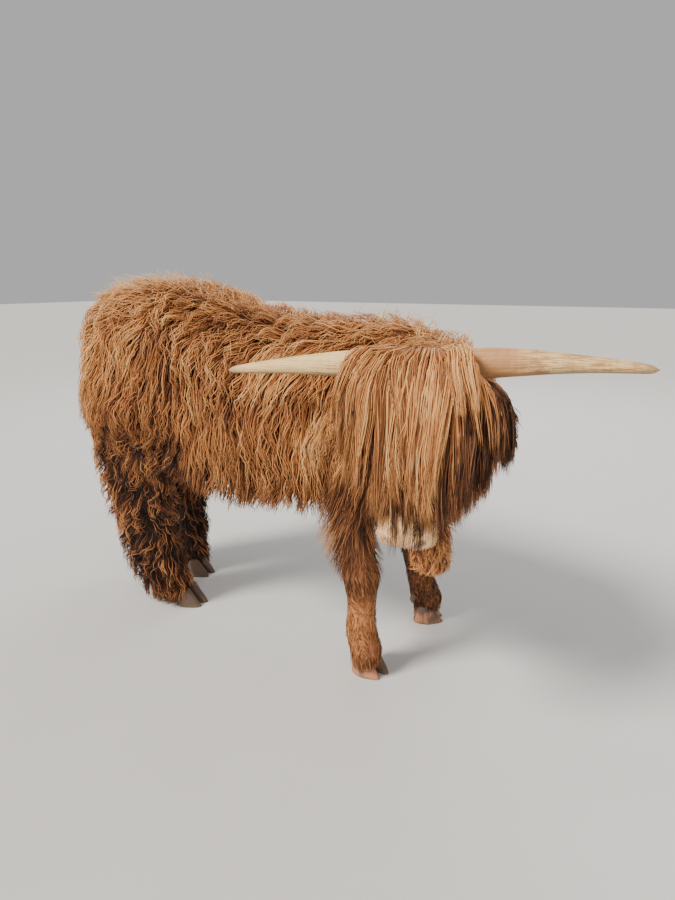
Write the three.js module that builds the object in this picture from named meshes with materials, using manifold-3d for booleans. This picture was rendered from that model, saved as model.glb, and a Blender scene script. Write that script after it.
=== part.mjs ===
// A highland cow, life size, standing square with its head turned to its right.
// Millimetres. +Z is up, +X runs from the rump to the chest and +Y is the animal's left.
// Every solid of flesh reaches to the tips of the coat that covers it.
import * as THREE from "three";
import { mergeVertices } from "three/addons/utils/BufferGeometryUtils.js";
import Module from "manifold-3d";

const wasm = await Module();
wasm.setup();

// ---- Driving dimensions ----

const GAP = 0.35; // clearance between neighbouring pieces
const RUMP_HEIGHT = 1212; // top of the coat over the hips
const BACK_HEIGHT = 1092; // top of the coat at the middle of the back
const WITHERS_HEIGHT = 1100;
const BELLY_HEIGHT = 462; // tips of the belly coat
const BARREL_HALF_WIDTH = 336;
const POLL = new THREE.Vector3(1085, -352, 1022); // top of the skull, between the horns
const HEAD_YAW = -78; // degrees about +Z: the head looks to the animal's right
const HEAD_PITCH = 58; // degrees that the face points below the horizon
const HEAD_ROLL = 3;
const FACE_LENGTH = 455; // poll to the front of the muzzle
const HORN_SPREAD = { left: 514, right: 552 }; // middle of the head to each horn's tip
const HORN_RADIUS = 36; // at the root
const EYE_RADIUS = 19;
const HOOF_LENGTH = 108;
const HOOF_HEIGHT = 62;

// ---- Colours ----

const coatRed = { color: 0xa8602f, roughness: 0.9 };
const coatGold = { color: 0xc68345, roughness: 0.85 };
const skinPale = { color: 0xc9a183, roughness: 0.6 };
const hornBone = { color: 0xcdb78f, roughness: 0.5 };
const clawHorn = { color: 0x4b3d35, roughness: 0.6 };
const eyeDark = { color: 0x20130c, roughness: 0.15 };

// ---- Solids from closed geometries ----

// `swell` moves the skin outwards by that much, to cut the neighbours clear of it.
function solidOf(geometry, matrix, swell = 0) {
  const shape = geometry.clone();
  shape.deleteAttribute("normal");
  shape.deleteAttribute("uv");
  if (matrix) shape.applyMatrix4(matrix);
  const merged = mergeVertices(shape, 1e-3);
  const points = merged.attributes.position;
  merged.computeVertexNormals();
  const { array: normals } = merged.attributes.normal;
  return new wasm.Manifold(
    new wasm.Mesh({
      numProp: 3,
      vertProperties: points.array.map((value, i) => value + swell * normals[i]),
      triVerts: new Uint32Array(merged.index.array),
    }),
  );
}

function geometryOf(solid) {
  const { vertProperties, triVerts, numProp } = solid.getMesh();
  const points = new Float32Array((vertProperties.length / numProp) * 3);
  for (let i = 0; i < points.length / 3; i++)
    points.set(vertProperties.subarray(i * numProp, i * numProp + 3), i * 3);
  const geometry = new THREE.BufferGeometry();
  geometry.setAttribute("position", new THREE.BufferAttribute(points, 3));
  geometry.setIndex(new THREE.BufferAttribute(triVerts, 1));
  geometry.computeVertexNormals();
  return geometry;
}

// The largest of a solid's separate bodies: a cut can leave a crumb behind.
function mainBody(solid) {
  const bodies = solid.decompose();
  return bodies.sort((a, b) => b.volume() - a.volume())[0];
}

function without(solid, ...cutters) {
  return mainBody(cutters.reduce((left, cutter) => left.subtract(cutter), solid));
}

// ---- Lofts ----

// A closed skin over rings set along a path. Each station holds the ring's centre `at`, its half
// width `half`, its reach `rise` towards `up` and `drop` away from it, and how `square` it is:
// 2 is an ellipse and more is boxier, with `skirt` for the side away from `up`, which `keel` narrows. Stations are joined
// by smooth curves, and `domes` gives the length of the rounded cap on the first and last ring.
// `blunt` squares a cap: 2 is round and more is flatter.
function loft(shape) {
  const { stations, up, sides, rings, domes, blunt = [2, 2], capRings = 3 } = shape;
  const full = stations.map((s) => ({ rise: s.half, drop: s.half, square: 2, keel: 0, skirt: s.square ?? 2, ...s }));
  const along = [0];
  for (let i = 1; i < full.length; i++) {
    const [before, now] = [full[i - 1], full[i]].map((s) => new THREE.Vector3(...s.at));
    along.push(along[i - 1] + before.distanceTo(now));
  }
  const rows = full.map((s) => [...s.at, s.half, s.rise, s.drop, s.square, s.keel, s.skirt]);
  const curve = new THREE.CubicInterpolant(along, rows.flat(), rows[0].length);
  const length = along.at(-1);
  const row = (t) => [...curve.evaluate(THREE.MathUtils.clamp(t, 0, length))];
  const centre = (t) => new THREE.Vector3(...row(t).slice(0, 3));
  const step = length / 200;
  const heading = (t) =>
    centre(Math.min(t + step, length)).sub(centre(Math.max(t - step, 0))).normalize();

  // Each mark is a ring: its place along the path, its offset beyond the end and its scale.
  const capRing = (end, i) => {
    const share = Math.sin((i / (capRings + 1)) * (Math.PI / 2));
    return [domes[end] * share, (1 - share ** blunt[end]) ** (1 / blunt[end])];
  };
  const marks = [];
  for (let i = capRings; i >= 1; i--) {
    const [offset, scale] = capRing(0, i);
    marks.push([0, -offset, scale]);
  }
  for (let i = 0; i <= rings; i++) marks.push([(length * i) / rings, 0, 1]);
  for (let i = 1; i <= capRings; i++) marks.push([length, ...capRing(1, i)]);

  const points = [];
  const upward = new THREE.Vector3(...up);
  for (const [t, beyond, scale] of marks) {
    const [, , , half, rise, drop, square, keel, skirt] = row(t);
    const forward = heading(t);
    const side = upward.clone().cross(forward).normalize();
    const lift = forward.clone().cross(side);
    const middle = centre(t).addScaledVector(forward, beyond);
    for (let k = 0; k < sides; k++) {
      const angle = (2 * Math.PI * k) / sides;
      const power = 2 / (Math.sin(angle) < 0 ? skirt : square);
      const across = Math.sign(Math.cos(angle)) * Math.abs(Math.cos(angle)) ** power;
      const high = Math.sign(Math.sin(angle)) * Math.abs(Math.sin(angle)) ** power;
      const width = half * scale * (1 - keel * Math.max(0, -high) ** 1.5);
      const height = (high > 0 ? rise : drop) * scale;
      points.push(
        middle.clone().addScaledVector(side, across * width).addScaledVector(lift, high * height),
      );
    }
  }
  const last = marks.length - 1;
  const tips = [
    centre(0).addScaledVector(heading(0), -domes[0]),
    centre(length).addScaledVector(heading(length), domes[1]),
  ];
  const faces = [];
  for (let r = 0; r < last; r++)
    for (let k = 0; k < sides; k++) {
      const [a, b] = [r * sides + k, r * sides + ((k + 1) % sides)];
      faces.push(a, b, b + sides, a, b + sides, a + sides);
    }
  const [first, final] = [points.length, points.length + 1];
  for (let k = 0; k < sides; k++) {
    const next = (k + 1) % sides;
    faces.push(first, next, k, final, last * sides + k, last * sides + next);
  }
  const geometry = new THREE.BufferGeometry().setFromPoints([...points, ...tips]);
  geometry.setIndex(faces);
  return geometry;
}

const at = (x, y, z, half, more = {}) => ({ at: [x, y, z], half, ...more });

// ---- Trunk ----

// x, top of the coat, lowest tips, half width, squareness above and below, sideways place, keel
const trunkSections = [
  [-290, RUMP_HEIGHT - 34, 640, 240, 3.0, 3.0, 0, 0],
  [-200, RUMP_HEIGHT - 8, 570, 280, 3.0, 3.0, 0, 0],
  [-60, RUMP_HEIGHT, 505, 302, 2.9, 3.2, 0, 0],
  [80, RUMP_HEIGHT - 38, BELLY_HEIGHT + 8, 312, 2.7, 3.8, 0, 0],
  [220, BACK_HEIGHT + 42, BELLY_HEIGHT, 326, 2.6, 4.2, 0, 0.02],
  [400, BACK_HEIGHT + 10, BELLY_HEIGHT - 8, BARREL_HALF_WIDTH, 2.5, 4.2, 0, 0.02],
  [580, BACK_HEIGHT - 8, BELLY_HEIGHT - 6, 320, 2.4, 3.8, -5, 0.04],
  [720, WITHERS_HEIGHT - 8, BELLY_HEIGHT - 16, 292, 2.3, 2.8, -14, 0.1],
  [840, WITHERS_HEIGHT, BELLY_HEIGHT - 46, 264, 2.1, 2.2, -26, 0.25],
  [940, WITHERS_HEIGHT - 26, BELLY_HEIGHT - 100, 228, 2.0, 2.0, -44, 0.4],
];
const trunk = {
  stations: trunkSections.map(([x, top, bottom, half, square, skirt, y, keel]) => {
    const z = (top + bottom) / 2;
    return at(x, y, z, half, { rise: top - z, drop: z - bottom, square, skirt, keel });
  }),
  up: [0, 0, 1],
  sides: 24,
  rings: 14,
  domes: [92, 110],
  blunt: [3, 2],
};

// ---- Neck ----

const neck = {
  stations: [
    at(780, -20, 790, 180, { rise: 240, drop: 270 }),
    at(900, -40, 800, 200, { rise: 258, drop: 370, keel: 0.2 }),
    at(1000, -96, 812, 206, { rise: 250, drop: 450, keel: 0.5 }),
    at(1068, -184, 830, 194, { rise: 226, drop: 384, keel: 0.55 }),
    at(1098, -280, 846, 174, { rise: 200, drop: 310, keel: 0.45 }),
    at(1104, -344, 852, 150, { rise: 172, drop: 250, keel: 0.4 }),
  ],
  up: [0, 0, 1],
  sides: 16,
  rings: 7,
  domes: [60, 60],
  capRings: 2,
};

// ---- Head, in its own frame: +X from poll to muzzle, +Y its left, +Z out of the forehead ----

// place along the face, top line, jaw line, half width, squareness
const headSections = [
  [0, 14, -150, 92, 2.3],
  [60, 26, -196, 106, 2.3],
  [130, 24, -214, 110, 2.3],
  [190, 12, -206, 101, 2.3],
  [250, 0, -184, 84, 2.2],
  [310, -12, -164, 71, 2.2],
  [365, -20, -154, 67, 2.3],
  [405, -26, -150, 71, 2.5],
  [435, -34, -144, 68, 2.6],
];
const head = {
  stations: headSections.map(([x, top, jaw, half, square]) => {
    const widest = top - (top - jaw) * 0.42;
    return at(x, 0, widest, half, { rise: top - widest, drop: widest - jaw, square, keel: 0.3 });
  }),
  up: [0, 0, 1],
  sides: 16,
  rings: 9,
  domes: [46, FACE_LENGTH - 435],
};
const MUZZLE_FROM = 372; // where the bare muzzle begins along the face
const EYE_PLACE = [168, 96, -42];
const NOSTRIL_PLACE = [440, 38, -62];
const MOUTH_LEVEL = -112;

const headFrame = new THREE.Group();
headFrame.position.copy(POLL);
headFrame.rotation.set(
  THREE.MathUtils.degToRad(HEAD_ROLL),
  THREE.MathUtils.degToRad(HEAD_PITCH),
  THREE.MathUtils.degToRad(HEAD_YAW),
  "ZYX",
);
headFrame.updateMatrix();

// A horn leaves the side of the poll almost level, then bows a little and comes to a blunt tip.
function horn(side) {
  const reach = (side > 0 ? HORN_SPREAD.left : HORN_SPREAD.right) - 60;
  const [bow, lift] = side > 0 ? [12, 42] : [4, -4];
  const sizes = [1, 0.94, 0.8, 0.64, 0.46, 0.26];
  return {
    stations: sizes.map((size, i) => {
      const share = (i / (sizes.length - 1)) * 0.94;
      const x = 6 + 24 * share ** 2;
      const z = -40 + bow * Math.sin(Math.PI * share) + lift * share;
      return at(x, side * (60 + reach * share), z, HORN_RADIUS * size);
    }),
    up: [0, 0, 1],
    sides: 10,
    rings: 8,
    domes: [4, reach * 0.06],
    capRings: 2,
  };
}

// An ear stands out behind and below the horn, and its long fringe hangs from it.
function ear(side) {
  return {
    stations: [
      at(44, side * 96, -92, 22, { rise: 20, drop: 26 }),
      at(62, side * 128, -104, 38, { rise: 24, drop: 40 }),
      at(88, side * 160, -116, 50, { rise: 24, drop: 54 }),
      at(118, side * 186, -128, 44, { rise: 20, drop: 50 }),
      at(142, side * 202, -136, 24, { rise: 12, drop: 30 }),
    ],
    up: [0, 0, 1],
    sides: 9,
    rings: 5,
    domes: [14, 20],
    capRings: 2,
  };
}

// The forelock hangs from the poll over the whole face, down to the nostrils.
const forelock = {
  stations: [
    at(-32, 0, -40, 124, { rise: 60, drop: 70 }),
    at(10, 0, -36, 168, { rise: 78, drop: 100, square: 2.2 }),
    at(80, 0, -40, 196, { rise: 92, drop: 124, square: 2.3 }),
    at(160, 4, -46, 206, { rise: 92, drop: 126, square: 2.3 }),
    at(250, 8, -52, 192, { rise: 84, drop: 116, square: 2.2 }),
    at(330, 10, -56, 152, { rise: 74, drop: 100, square: 2.1 }),
    at(400, 12, -60, 102, { rise: 66, drop: 70, square: 2.0 }),
  ],
  up: [0, 0, 1],
  sides: 16,
  rings: 8,
  domes: [30, 34],
  capRings: 2,
};

// ---- Legs ----

// Each leg is a path from the body to the pastern, with half widths across and along the body.
const legs = {
  fore_right: {
    stations: [
      at(790, -190, 860, 96, { rise: 130, drop: 120 }),
      at(800, -205, 720, 112, { rise: 142, drop: 130 }),
      at(806, -208, 600, 108, { rise: 122, drop: 120 }),
      at(818, -208, 480, 86, { rise: 90, drop: 96 }),
      at(832, -205, 380, 60, { rise: 58, drop: 64 }),
      at(838, -202, 322, 54, { rise: 52, drop: 52 }),
      at(838, -200, 250, 44, { rise: 42, drop: 44 }),
      at(838, -198, 180, 43, { rise: 40, drop: 46 }),
      at(844, -197, 120, 51, { rise: 44, drop: 54 }),
      at(862, -195, 68, 50, { rise: 44, drop: 50 }),
    ],
    toe: [915, -190],
    turn: -15,
  },
  fore_left: {
    stations: [
      at(742, 150, 860, 96, { rise: 130, drop: 120 }),
      at(738, 176, 720, 112, { rise: 142, drop: 130 }),
      at(742, 182, 600, 106, { rise: 122, drop: 118 }),
      at(772, 192, 480, 84, { rise: 88, drop: 92 }),
      at(802, 203, 380, 60, { rise: 58, drop: 62 }),
      at(818, 210, 322, 54, { rise: 52, drop: 50 }),
      at(834, 218, 250, 44, { rise: 42, drop: 44 }),
      at(848, 226, 180, 43, { rise: 40, drop: 46 }),
      at(864, 232, 120, 51, { rise: 44, drop: 54 }),
      at(884, 240, 68, 50, { rise: 44, drop: 50 }),
    ],
    toe: [932, 256],
    turn: 24,
  },
  hind_right: {
    stations: [
      at(-150, -170, 960, 118, { rise: 170, drop: 180 }),
      at(-150, -186, 800, 132, { rise: 200, drop: 206 }),
      at(-136, -192, 660, 134, { rise: 226, drop: 208 }),
      at(-116, -184, 540, 130, { rise: 214, drop: 190 }),
      at(-112, -172, 430, 118, { rise: 182, drop: 176 }),
      at(-98, -162, 320, 112, { rise: 150, drop: 168 }),
      at(-64, -150, 220, 104, { rise: 120, drop: 158 }),
      at(-30, -138, 130, 90, { rise: 86, drop: 136 }),
      at(0, -122, 66, 66, { rise: 58, drop: 96 }),
    ],
    toe: [110, -98],
    turn: 6,
  },
  hind_left: {
    stations: [
      at(-170, 170, 960, 118, { rise: 160, drop: 160 }),
      at(-190, 186, 800, 132, { rise: 206, drop: 180 }),
      at(-206, 190, 660, 134, { rise: 226, drop: 176 }),
      at(-214, 182, 540, 130, { rise: 210, drop: 166 }),
      at(-224, 172, 430, 118, { rise: 176, drop: 156 }),
      at(-216, 164, 320, 112, { rise: 146, drop: 148 }),
      at(-194, 156, 220, 104, { rise: 118, drop: 140 }),
      at(-170, 148, 130, 90, { rise: 82, drop: 120 }),
      at(-146, 138, 66, 66, { rise: 54, drop: 88 }),
    ],
    toe: [-42, 122],
    turn: 4,
  },
};
for (const leg of Object.values(legs))
  Object.assign(leg, { up: [1, 0, 0], sides: 12, rings: 9, domes: [40, 24], capRings: 2 });

// One claw stands on a flat sole. Its front wall slopes back to the coronet.
function claw(spread) {
  const rows = [
    // height, back of the claw, front, half width
    [0, -HOOF_LENGTH, 0, 25],
    [14, -HOOF_LENGTH + 1, -9, 26],
    [38, -HOOF_LENGTH + 8, -32, 24],
    [HOOF_HEIGHT, -HOOF_LENGTH + 20, -54, 19],
  ];
  const sides = 12;
  const points = rows.flatMap(([z, back, front, half]) =>
    Array.from({ length: sides }, (_, k) => {
      const angle = (2 * Math.PI * k) / sides;
      const middle = (front + back) / 2;
      const x = middle + (Math.cos(angle) * (front - back)) / 2;
      const narrowing = 1 - 0.35 * Math.max(0, Math.cos(angle));
      const y = spread * (28 - 7 * Math.max(0, Math.cos(angle))) + half * Math.sin(angle) * narrowing;
      return new THREE.Vector3(x, y, z);
    }),
  );
  const faces = [];
  for (let r = 0; r < rows.length - 1; r++)
    for (let k = 0; k < sides; k++) {
      const [a, b] = [r * sides + k, r * sides + ((k + 1) % sides)];
      faces.push(a, b, b + sides, a, b + sides, a + sides);
    }
  const top = (rows.length - 1) * sides;
  for (let k = 1; k < sides - 1; k++) faces.push(0, k + 1, k, top, top + k, top + k + 1);
  const geometry = new THREE.BufferGeometry().setFromPoints(points);
  geometry.setIndex(faces);
  return geometry;
}

// ---- Tail ----

const tail = {
  stations: [
    at(-340, 0, 1122, 42),
    at(-392, 0, 1094, 42),
    at(-422, 2, 1016, 38),
    at(-428, 4, 900, 36),
    at(-424, 6, 780, 36),
    at(-418, 8, 660, 46),
    at(-414, 9, 540, 64),
    at(-412, 10, 420, 70),
    at(-410, 10, 330, 46),
  ],
  up: [1, 0, 0],
  sides: 9,
  rings: 10,
  domes: [20, 60],
  capRings: 2,
};
const SWITCH_FROM = 640; // height where the long hair of the tail begins

// ---- Assembly ----

const cow = new THREE.Group();
cow.add(headFrame);

function addMesh(parent, name, geometry, finish) {
  const mesh = new THREE.Mesh(geometry, new THREE.MeshStandardMaterial({ metalness: 0, ...finish }));
  mesh.name = name;
  parent.add(mesh);
  return mesh;
}

const toHead = headFrame.matrix.clone().invert();
const loftSolid = (spec, swell, matrix) => solidOf(loft(spec), matrix, swell);

// A simpler and looser shape round a piece, to make room for it in thick hair.
const roomFor = (spec, clearance, matrix) =>
  loftSolid({ ...spec, sides: 7, rings: 3, capRings: 1 }, clearance, matrix);

const eyeball = new THREE.SphereGeometry(EYE_RADIUS, 12, 8);
const eyeRoom = (matrix) =>
  [1, -1].map((side) => {
    const [x, y, z] = EYE_PLACE;
    return solidOf(eyeball.clone().translate(x, side * y, z), matrix, GAP);
  });

// The trunk is whole, and everything that joins it is cut to fit.
const trunkCutter = loftSolid(trunk, GAP);
addMesh(cow, "trunk", geometryOf(loftSolid(trunk)), coatRed);

// Head: eye sockets, nostrils and the line of the mouth are cut into it.
const nostrils = [1, -1].map((side) => {
  const [x, y, z] = NOSTRIL_PLACE;
  const hole = new THREE.SphereGeometry(1, 8, 5).scale(20, 9, 13);
  hole.rotateZ(side * 0.6).translate(x, side * y, z);
  return solidOf(hole);
});
const mouthCut = new THREE.BoxGeometry(90, 200, 4).rotateY(0.12).translate(428, 0, MOUTH_LEVEL);
const mouthKeep = new THREE.BoxGeometry(200, 104, 60).translate(380, 0, MOUTH_LEVEL);
const mouth = solidOf(mouthCut).subtract(solidOf(mouthKeep));
const hornSolids = [1, -1].map((side) => loftSolid(horn(side)));
const hornCutters = [1, -1].map((side) => loftSolid(horn(side), GAP));
const skull = without(loftSolid(head), ...eyeRoom(), ...nostrils, mouth, ...hornCutters);
const muzzleBox = new THREE.BoxGeometry(400, 400, 600);
const muzzleKept = solidOf(muzzleBox.clone().translate(MUZZLE_FROM + 200 + GAP / 2, 0, -100));
const muzzleCut = solidOf(muzzleBox.clone().translate(MUZZLE_FROM + 200 - GAP / 2, 0, -100));
addMesh(headFrame, "head", geometryOf(without(skull, muzzleCut)), coatRed);
addMesh(headFrame, "muzzle", geometryOf(mainBody(skull.intersect(muzzleKept))), skinPale);

const sideNames = { left: 1, right: -1 };
const headCutter = loftSolid(head, GAP);
Object.entries(sideNames).forEach(([name, side], i) => {
  addMesh(headFrame, `horn_${name}`, geometryOf(hornSolids[i]), hornBone);
  const [x, y, z] = EYE_PLACE;
  addMesh(headFrame, `eye_${name}`, eyeball.clone(), eyeDark).position.set(x, side * y, z);
  const earSolid = without(loftSolid(ear(side)), headCutter, hornCutters[i]);
  addMesh(headFrame, `ear_${name}`, geometryOf(earSolid), coatRed);
});

// Neck: cut by the trunk, the head and what stands on it.
const HAIR_ROOM = 12; // clearance round the horns and ears
const roomOnHead = (matrix) =>
  Object.values(sideNames).flatMap((side) => [
    roomFor(horn(side), HAIR_ROOM, matrix),
    roomFor(ear(side), HAIR_ROOM, matrix),
  ]);
const headInBody = loftSolid(head, GAP, headFrame.matrix);
const neckSolid = without(
  loftSolid(neck),
  trunkCutter,
  headInBody,
  ...eyeRoom(headFrame.matrix),
  ...roomOnHead(headFrame.matrix),
);
addMesh(cow, "neck", geometryOf(neckSolid), coatRed);
const neckCutter = loftSolid(neck, GAP);

// Forelock: a thick curtain with the head, horns, eyes, ears and neck cut out of it.
const forelockSolid = without(
  loftSolid(forelock),
  headCutter,
  ...eyeRoom(),
  ...roomOnHead(),
  loftSolid(neck, GAP, toHead),
  loftSolid(trunk, GAP, toHead),
);
addMesh(headFrame, "forelock", geometryOf(forelockSolid), coatGold);

// Legs, claws and dewclaws.
for (const [name, leg] of Object.entries(legs)) {
  const foot = new THREE.Group();
  foot.position.set(leg.toe[0], leg.toe[1], 0);
  foot.rotation.z = THREE.MathUtils.degToRad(leg.turn);
  foot.updateMatrix();
  cow.add(foot);
  const outward = name.endsWith("left") ? 1 : -1;
  const cutters = [];
  for (const place of ["inner", "outer"]) {
    const spread = place === "outer" ? outward : -outward;
    const toe = claw(spread);
    addMesh(foot, `claw_${name}_${place}`, toe, clawHorn);
    cutters.push(solidOf(toe, foot.matrix, 1.5 * GAP));
    if (name.startsWith("hind")) continue; // the long hair behind the hind feet covers these
    const dewclaw = new THREE.SphereGeometry(1, 8, 5).scale(13, 12, 20);
    dewclaw.rotateY(0.35).translate(-HOOF_LENGTH - 2, spread * 27, 92);
    addMesh(foot, `dewclaw_${name}_${place}`, dewclaw, clawHorn);
    cutters.push(solidOf(dewclaw, foot.matrix, 1.5 * GAP));
  }
  const legSolid = without(loftSolid(leg), trunkCutter, neckCutter, ...cutters);
  addMesh(cow, `leg_${name}`, geometryOf(legSolid), coatRed);
}

// Tail and its switch.
const hindCutters = ["hind_right", "hind_left"].map((name) => loftSolid(legs[name], GAP));
const tailWhole = without(loftSolid(tail), trunkCutter, ...hindCutters);
const below = (height) => solidOf(new THREE.BoxGeometry(400, 400, 2000).translate(-420, 0, height - 1000));
addMesh(cow, "tail", geometryOf(without(tailWhole, below(SWITCH_FROM + GAP / 2))), coatRed);
addMesh(cow, "tail_switch", geometryOf(tailWhole.intersect(below(SWITCH_FROM - GAP / 2))), coatGold);

// The origin is on the floor, under the middle of the whole animal.
const part = new THREE.Group();
part.add(cow);
part.updateMatrixWorld(true);
const reach = new THREE.Box3().setFromObject(cow, true);
const middle = reach.getCenter(new THREE.Vector3());
cow.position.set(-middle.x, -middle.y, -reach.min.z);

export default part;
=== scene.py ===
"""Dresses a highland cow: one skin, horns, hooves, eyes and a long coat of solid locks."""

import functools
import math
from dataclasses import dataclass
from typing import Callable

import bmesh
import bpy
import numpy as np
from mathutils import Euler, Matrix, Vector
from mathutils.bvhtree import BVHTree
from mathutils.kdtree import KDTree


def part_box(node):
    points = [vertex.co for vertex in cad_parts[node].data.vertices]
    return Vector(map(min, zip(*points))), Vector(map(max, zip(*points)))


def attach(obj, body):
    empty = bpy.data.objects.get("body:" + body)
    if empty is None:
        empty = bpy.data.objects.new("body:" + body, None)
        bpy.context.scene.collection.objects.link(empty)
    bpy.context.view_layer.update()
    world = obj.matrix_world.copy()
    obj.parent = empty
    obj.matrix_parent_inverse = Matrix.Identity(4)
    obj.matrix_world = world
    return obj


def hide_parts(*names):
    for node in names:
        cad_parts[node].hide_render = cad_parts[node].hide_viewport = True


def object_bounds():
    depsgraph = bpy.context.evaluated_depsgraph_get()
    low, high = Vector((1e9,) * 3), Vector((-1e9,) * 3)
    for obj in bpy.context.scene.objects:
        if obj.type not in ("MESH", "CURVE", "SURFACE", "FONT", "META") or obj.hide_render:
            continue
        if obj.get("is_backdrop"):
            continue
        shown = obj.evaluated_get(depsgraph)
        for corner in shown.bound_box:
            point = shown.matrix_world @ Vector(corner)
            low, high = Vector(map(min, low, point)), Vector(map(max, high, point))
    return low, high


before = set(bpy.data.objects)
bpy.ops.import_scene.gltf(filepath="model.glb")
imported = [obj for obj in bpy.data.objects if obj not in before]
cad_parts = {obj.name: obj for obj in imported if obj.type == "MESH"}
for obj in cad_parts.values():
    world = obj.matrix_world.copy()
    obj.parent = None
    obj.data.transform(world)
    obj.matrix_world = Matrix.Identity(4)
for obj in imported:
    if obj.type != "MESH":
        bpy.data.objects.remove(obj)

bl_info = {
    "name": "Highland Cow",
    "version": (1, 0, 0),
    "blender": (4, 5, 0),
    "location": "3D Viewport > Sidebar > Cow",
    "description": "Builds the skin, coat, horns, hooves, eyes and stage of a life-size highland cow",
    "category": "Add Mesh",
}

# ---- Places taken from the frame, in metres ----

CAD_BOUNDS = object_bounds()
DOWN = np.array([0.0, 0.0, -1.0])
REAR = np.array([-1.0, 0.0, 0.0])

LEGS = ("leg_fore_right", "leg_fore_left", "leg_hind_right", "leg_hind_left")
FLESH = ("trunk", "neck", "head", "muzzle", "ear_right", "ear_left", "tail", "tail_switch") + LEGS

# The head's own axes: X runs from the poll to the muzzle, Y to its left, Z out of the forehead.
HEAD_TURN = Euler([math.radians(angle) for angle in (3, 58, -78)], "XYZ").to_matrix()
HEAD_AXES = np.array(HEAD_TURN)  # its columns are the head's X, Y and Z
EYE = np.array([0.168, 0.096, -0.042])  # the left eye in those axes
EYE_RADIUS = 0.019
MOUTH_LEVEL = -0.112


def centre_of(node):
    low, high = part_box(node)
    return np.array((low + high) / 2)


POLL = (centre_of("eye_left") + centre_of("eye_right")) / 2 - HEAD_AXES @ (EYE * [1, 0, 1])
SPINE = centre_of("trunk")[1]
WITHERS = np.array([0.25, SPINE, 1.02])
FLANK_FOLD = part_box("trunk")[0][0] + 0.64  # where the thigh meets the flank


def to_head(points):
    """Row frame to the head's own frame."""
    return (np.asarray(points) - POLL) @ HEAD_AXES


def from_head(points):
    """The head's own frame to the row frame."""
    return np.asarray(points) @ HEAD_AXES.T + POLL


# ---- Small maths ----


def smooth_step(low, high, value):
    share = np.clip((value - low) / (high - low), 0, 1)
    return share * share * (3 - 2 * share)


def blend(first, second, share):
    return first + (second - first) * share


def unit(vectors):
    return vectors / np.maximum(np.linalg.norm(vectors, axis=-1, keepdims=True), 1e-9)


def dot(first, second):
    return (first * second).sum(-1, keepdims=True)


def across(vectors, normals):
    """What is left of the vectors in the planes that the normals stand on."""
    return vectors - normals * dot(vectors, normals)


def bell(value, middle, width):
    """1 at the middle, falling away smoothly to both sides over about the width."""
    return np.exp(-(((value - middle) / width) ** 2))


class Ripple:
    """Smooth seeded noise from about -1 to 1: a sum of plane waves of about one wavelength."""

    def __init__(self, wavelength, seed, waves=9):
        rng = np.random.default_rng(seed)
        heading = unit(rng.normal(size=(waves, 3)))
        self.wave = heading * (2 * math.pi / wavelength) * rng.uniform(0.6, 1.7, (waves, 1))
        self.phase = rng.uniform(0, 2 * math.pi, waves)

    def __call__(self, points):
        return np.sin(points @ self.wave.T + self.phase).sum(-1) / math.sqrt(len(self.phase) * 2)


# ---- Meshes as arrays ----


def triangles_of(mesh):
    mesh.calc_loop_triangles()
    points = np.empty(len(mesh.vertices) * 3)
    mesh.vertices.foreach_get("co", points)
    corners = np.empty(len(mesh.loop_triangles) * 3, np.int32)
    mesh.loop_triangles.foreach_get("vertices", corners)
    return points.reshape(-1, 3), corners.reshape(-1, 3)


def normals_of(points, triangles):
    first, second, third = (points[triangles[:, i]] for i in range(3))
    faces = np.cross(second - first, third - first)
    total = np.zeros_like(points)
    for corner in range(3):
        for axis in range(3):
            total[:, axis] += np.bincount(triangles[:, corner], faces[:, axis], len(points))
    return unit(total)


def neighbours_of(triangles):
    pairs = np.vstack([triangles[:, [0, 1]], triangles[:, [1, 2]], triangles[:, [2, 0]]])
    return np.unique(np.sort(pairs, axis=1), axis=0)


def averaged(values, pairs, rounds=1):
    """Each vertex's value replaced by the mean of its neighbours' values, a number of times."""
    count = np.maximum(np.bincount(pairs.ravel(), minlength=len(values)), 1)
    columns = values.reshape(len(values), -1)
    for _ in range(rounds):
        result = np.empty_like(columns)
        for i, column in enumerate(columns.T):
            total = np.bincount(pairs[:, 0], column[pairs[:, 1]], len(values))
            total += np.bincount(pairs[:, 1], column[pairs[:, 0]], len(values))
            result[:, i] = total / count
        columns = result
    return columns.reshape(values.shape)


def move_points(mesh, points):
    mesh.vertices.foreach_set("co", np.asarray(points, np.float32).ravel())


def mesh_from(name, points, faces):
    """A mesh from an array of points and a list of arrays of faces, each with its own corner count."""
    mesh = bpy.data.meshes.new(name)
    mesh.vertices.add(len(points))
    move_points(mesh, points)
    corners = np.concatenate([group.ravel() for group in faces])
    sizes = np.concatenate([np.full(len(group), group.shape[1]) for group in faces])
    mesh.loops.add(len(corners))
    mesh.loops.foreach_set("vertex_index", corners.astype(np.int32))
    mesh.polygons.add(len(sizes))
    starts = np.concatenate([[0], np.cumsum(sizes)[:-1]])
    mesh.polygons.foreach_set("loop_start", starts.astype(np.int32))
    mesh.polygons.foreach_set("use_smooth", np.full(len(sizes), True))
    mesh.update(calc_edges=True)
    return mesh


def ring_faces(rings, sides):
    """Quads between closed rings of points, each ring a whole row of the array of points."""
    ring = np.arange(rings - 1)[:, None] * sides
    side = np.arange(sides)[None]
    after = (side + 1) % sides
    quads = np.stack([ring + side, ring + after, ring + sides + after, ring + sides + side], -1)
    return quads.reshape(-1, 4)


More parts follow.
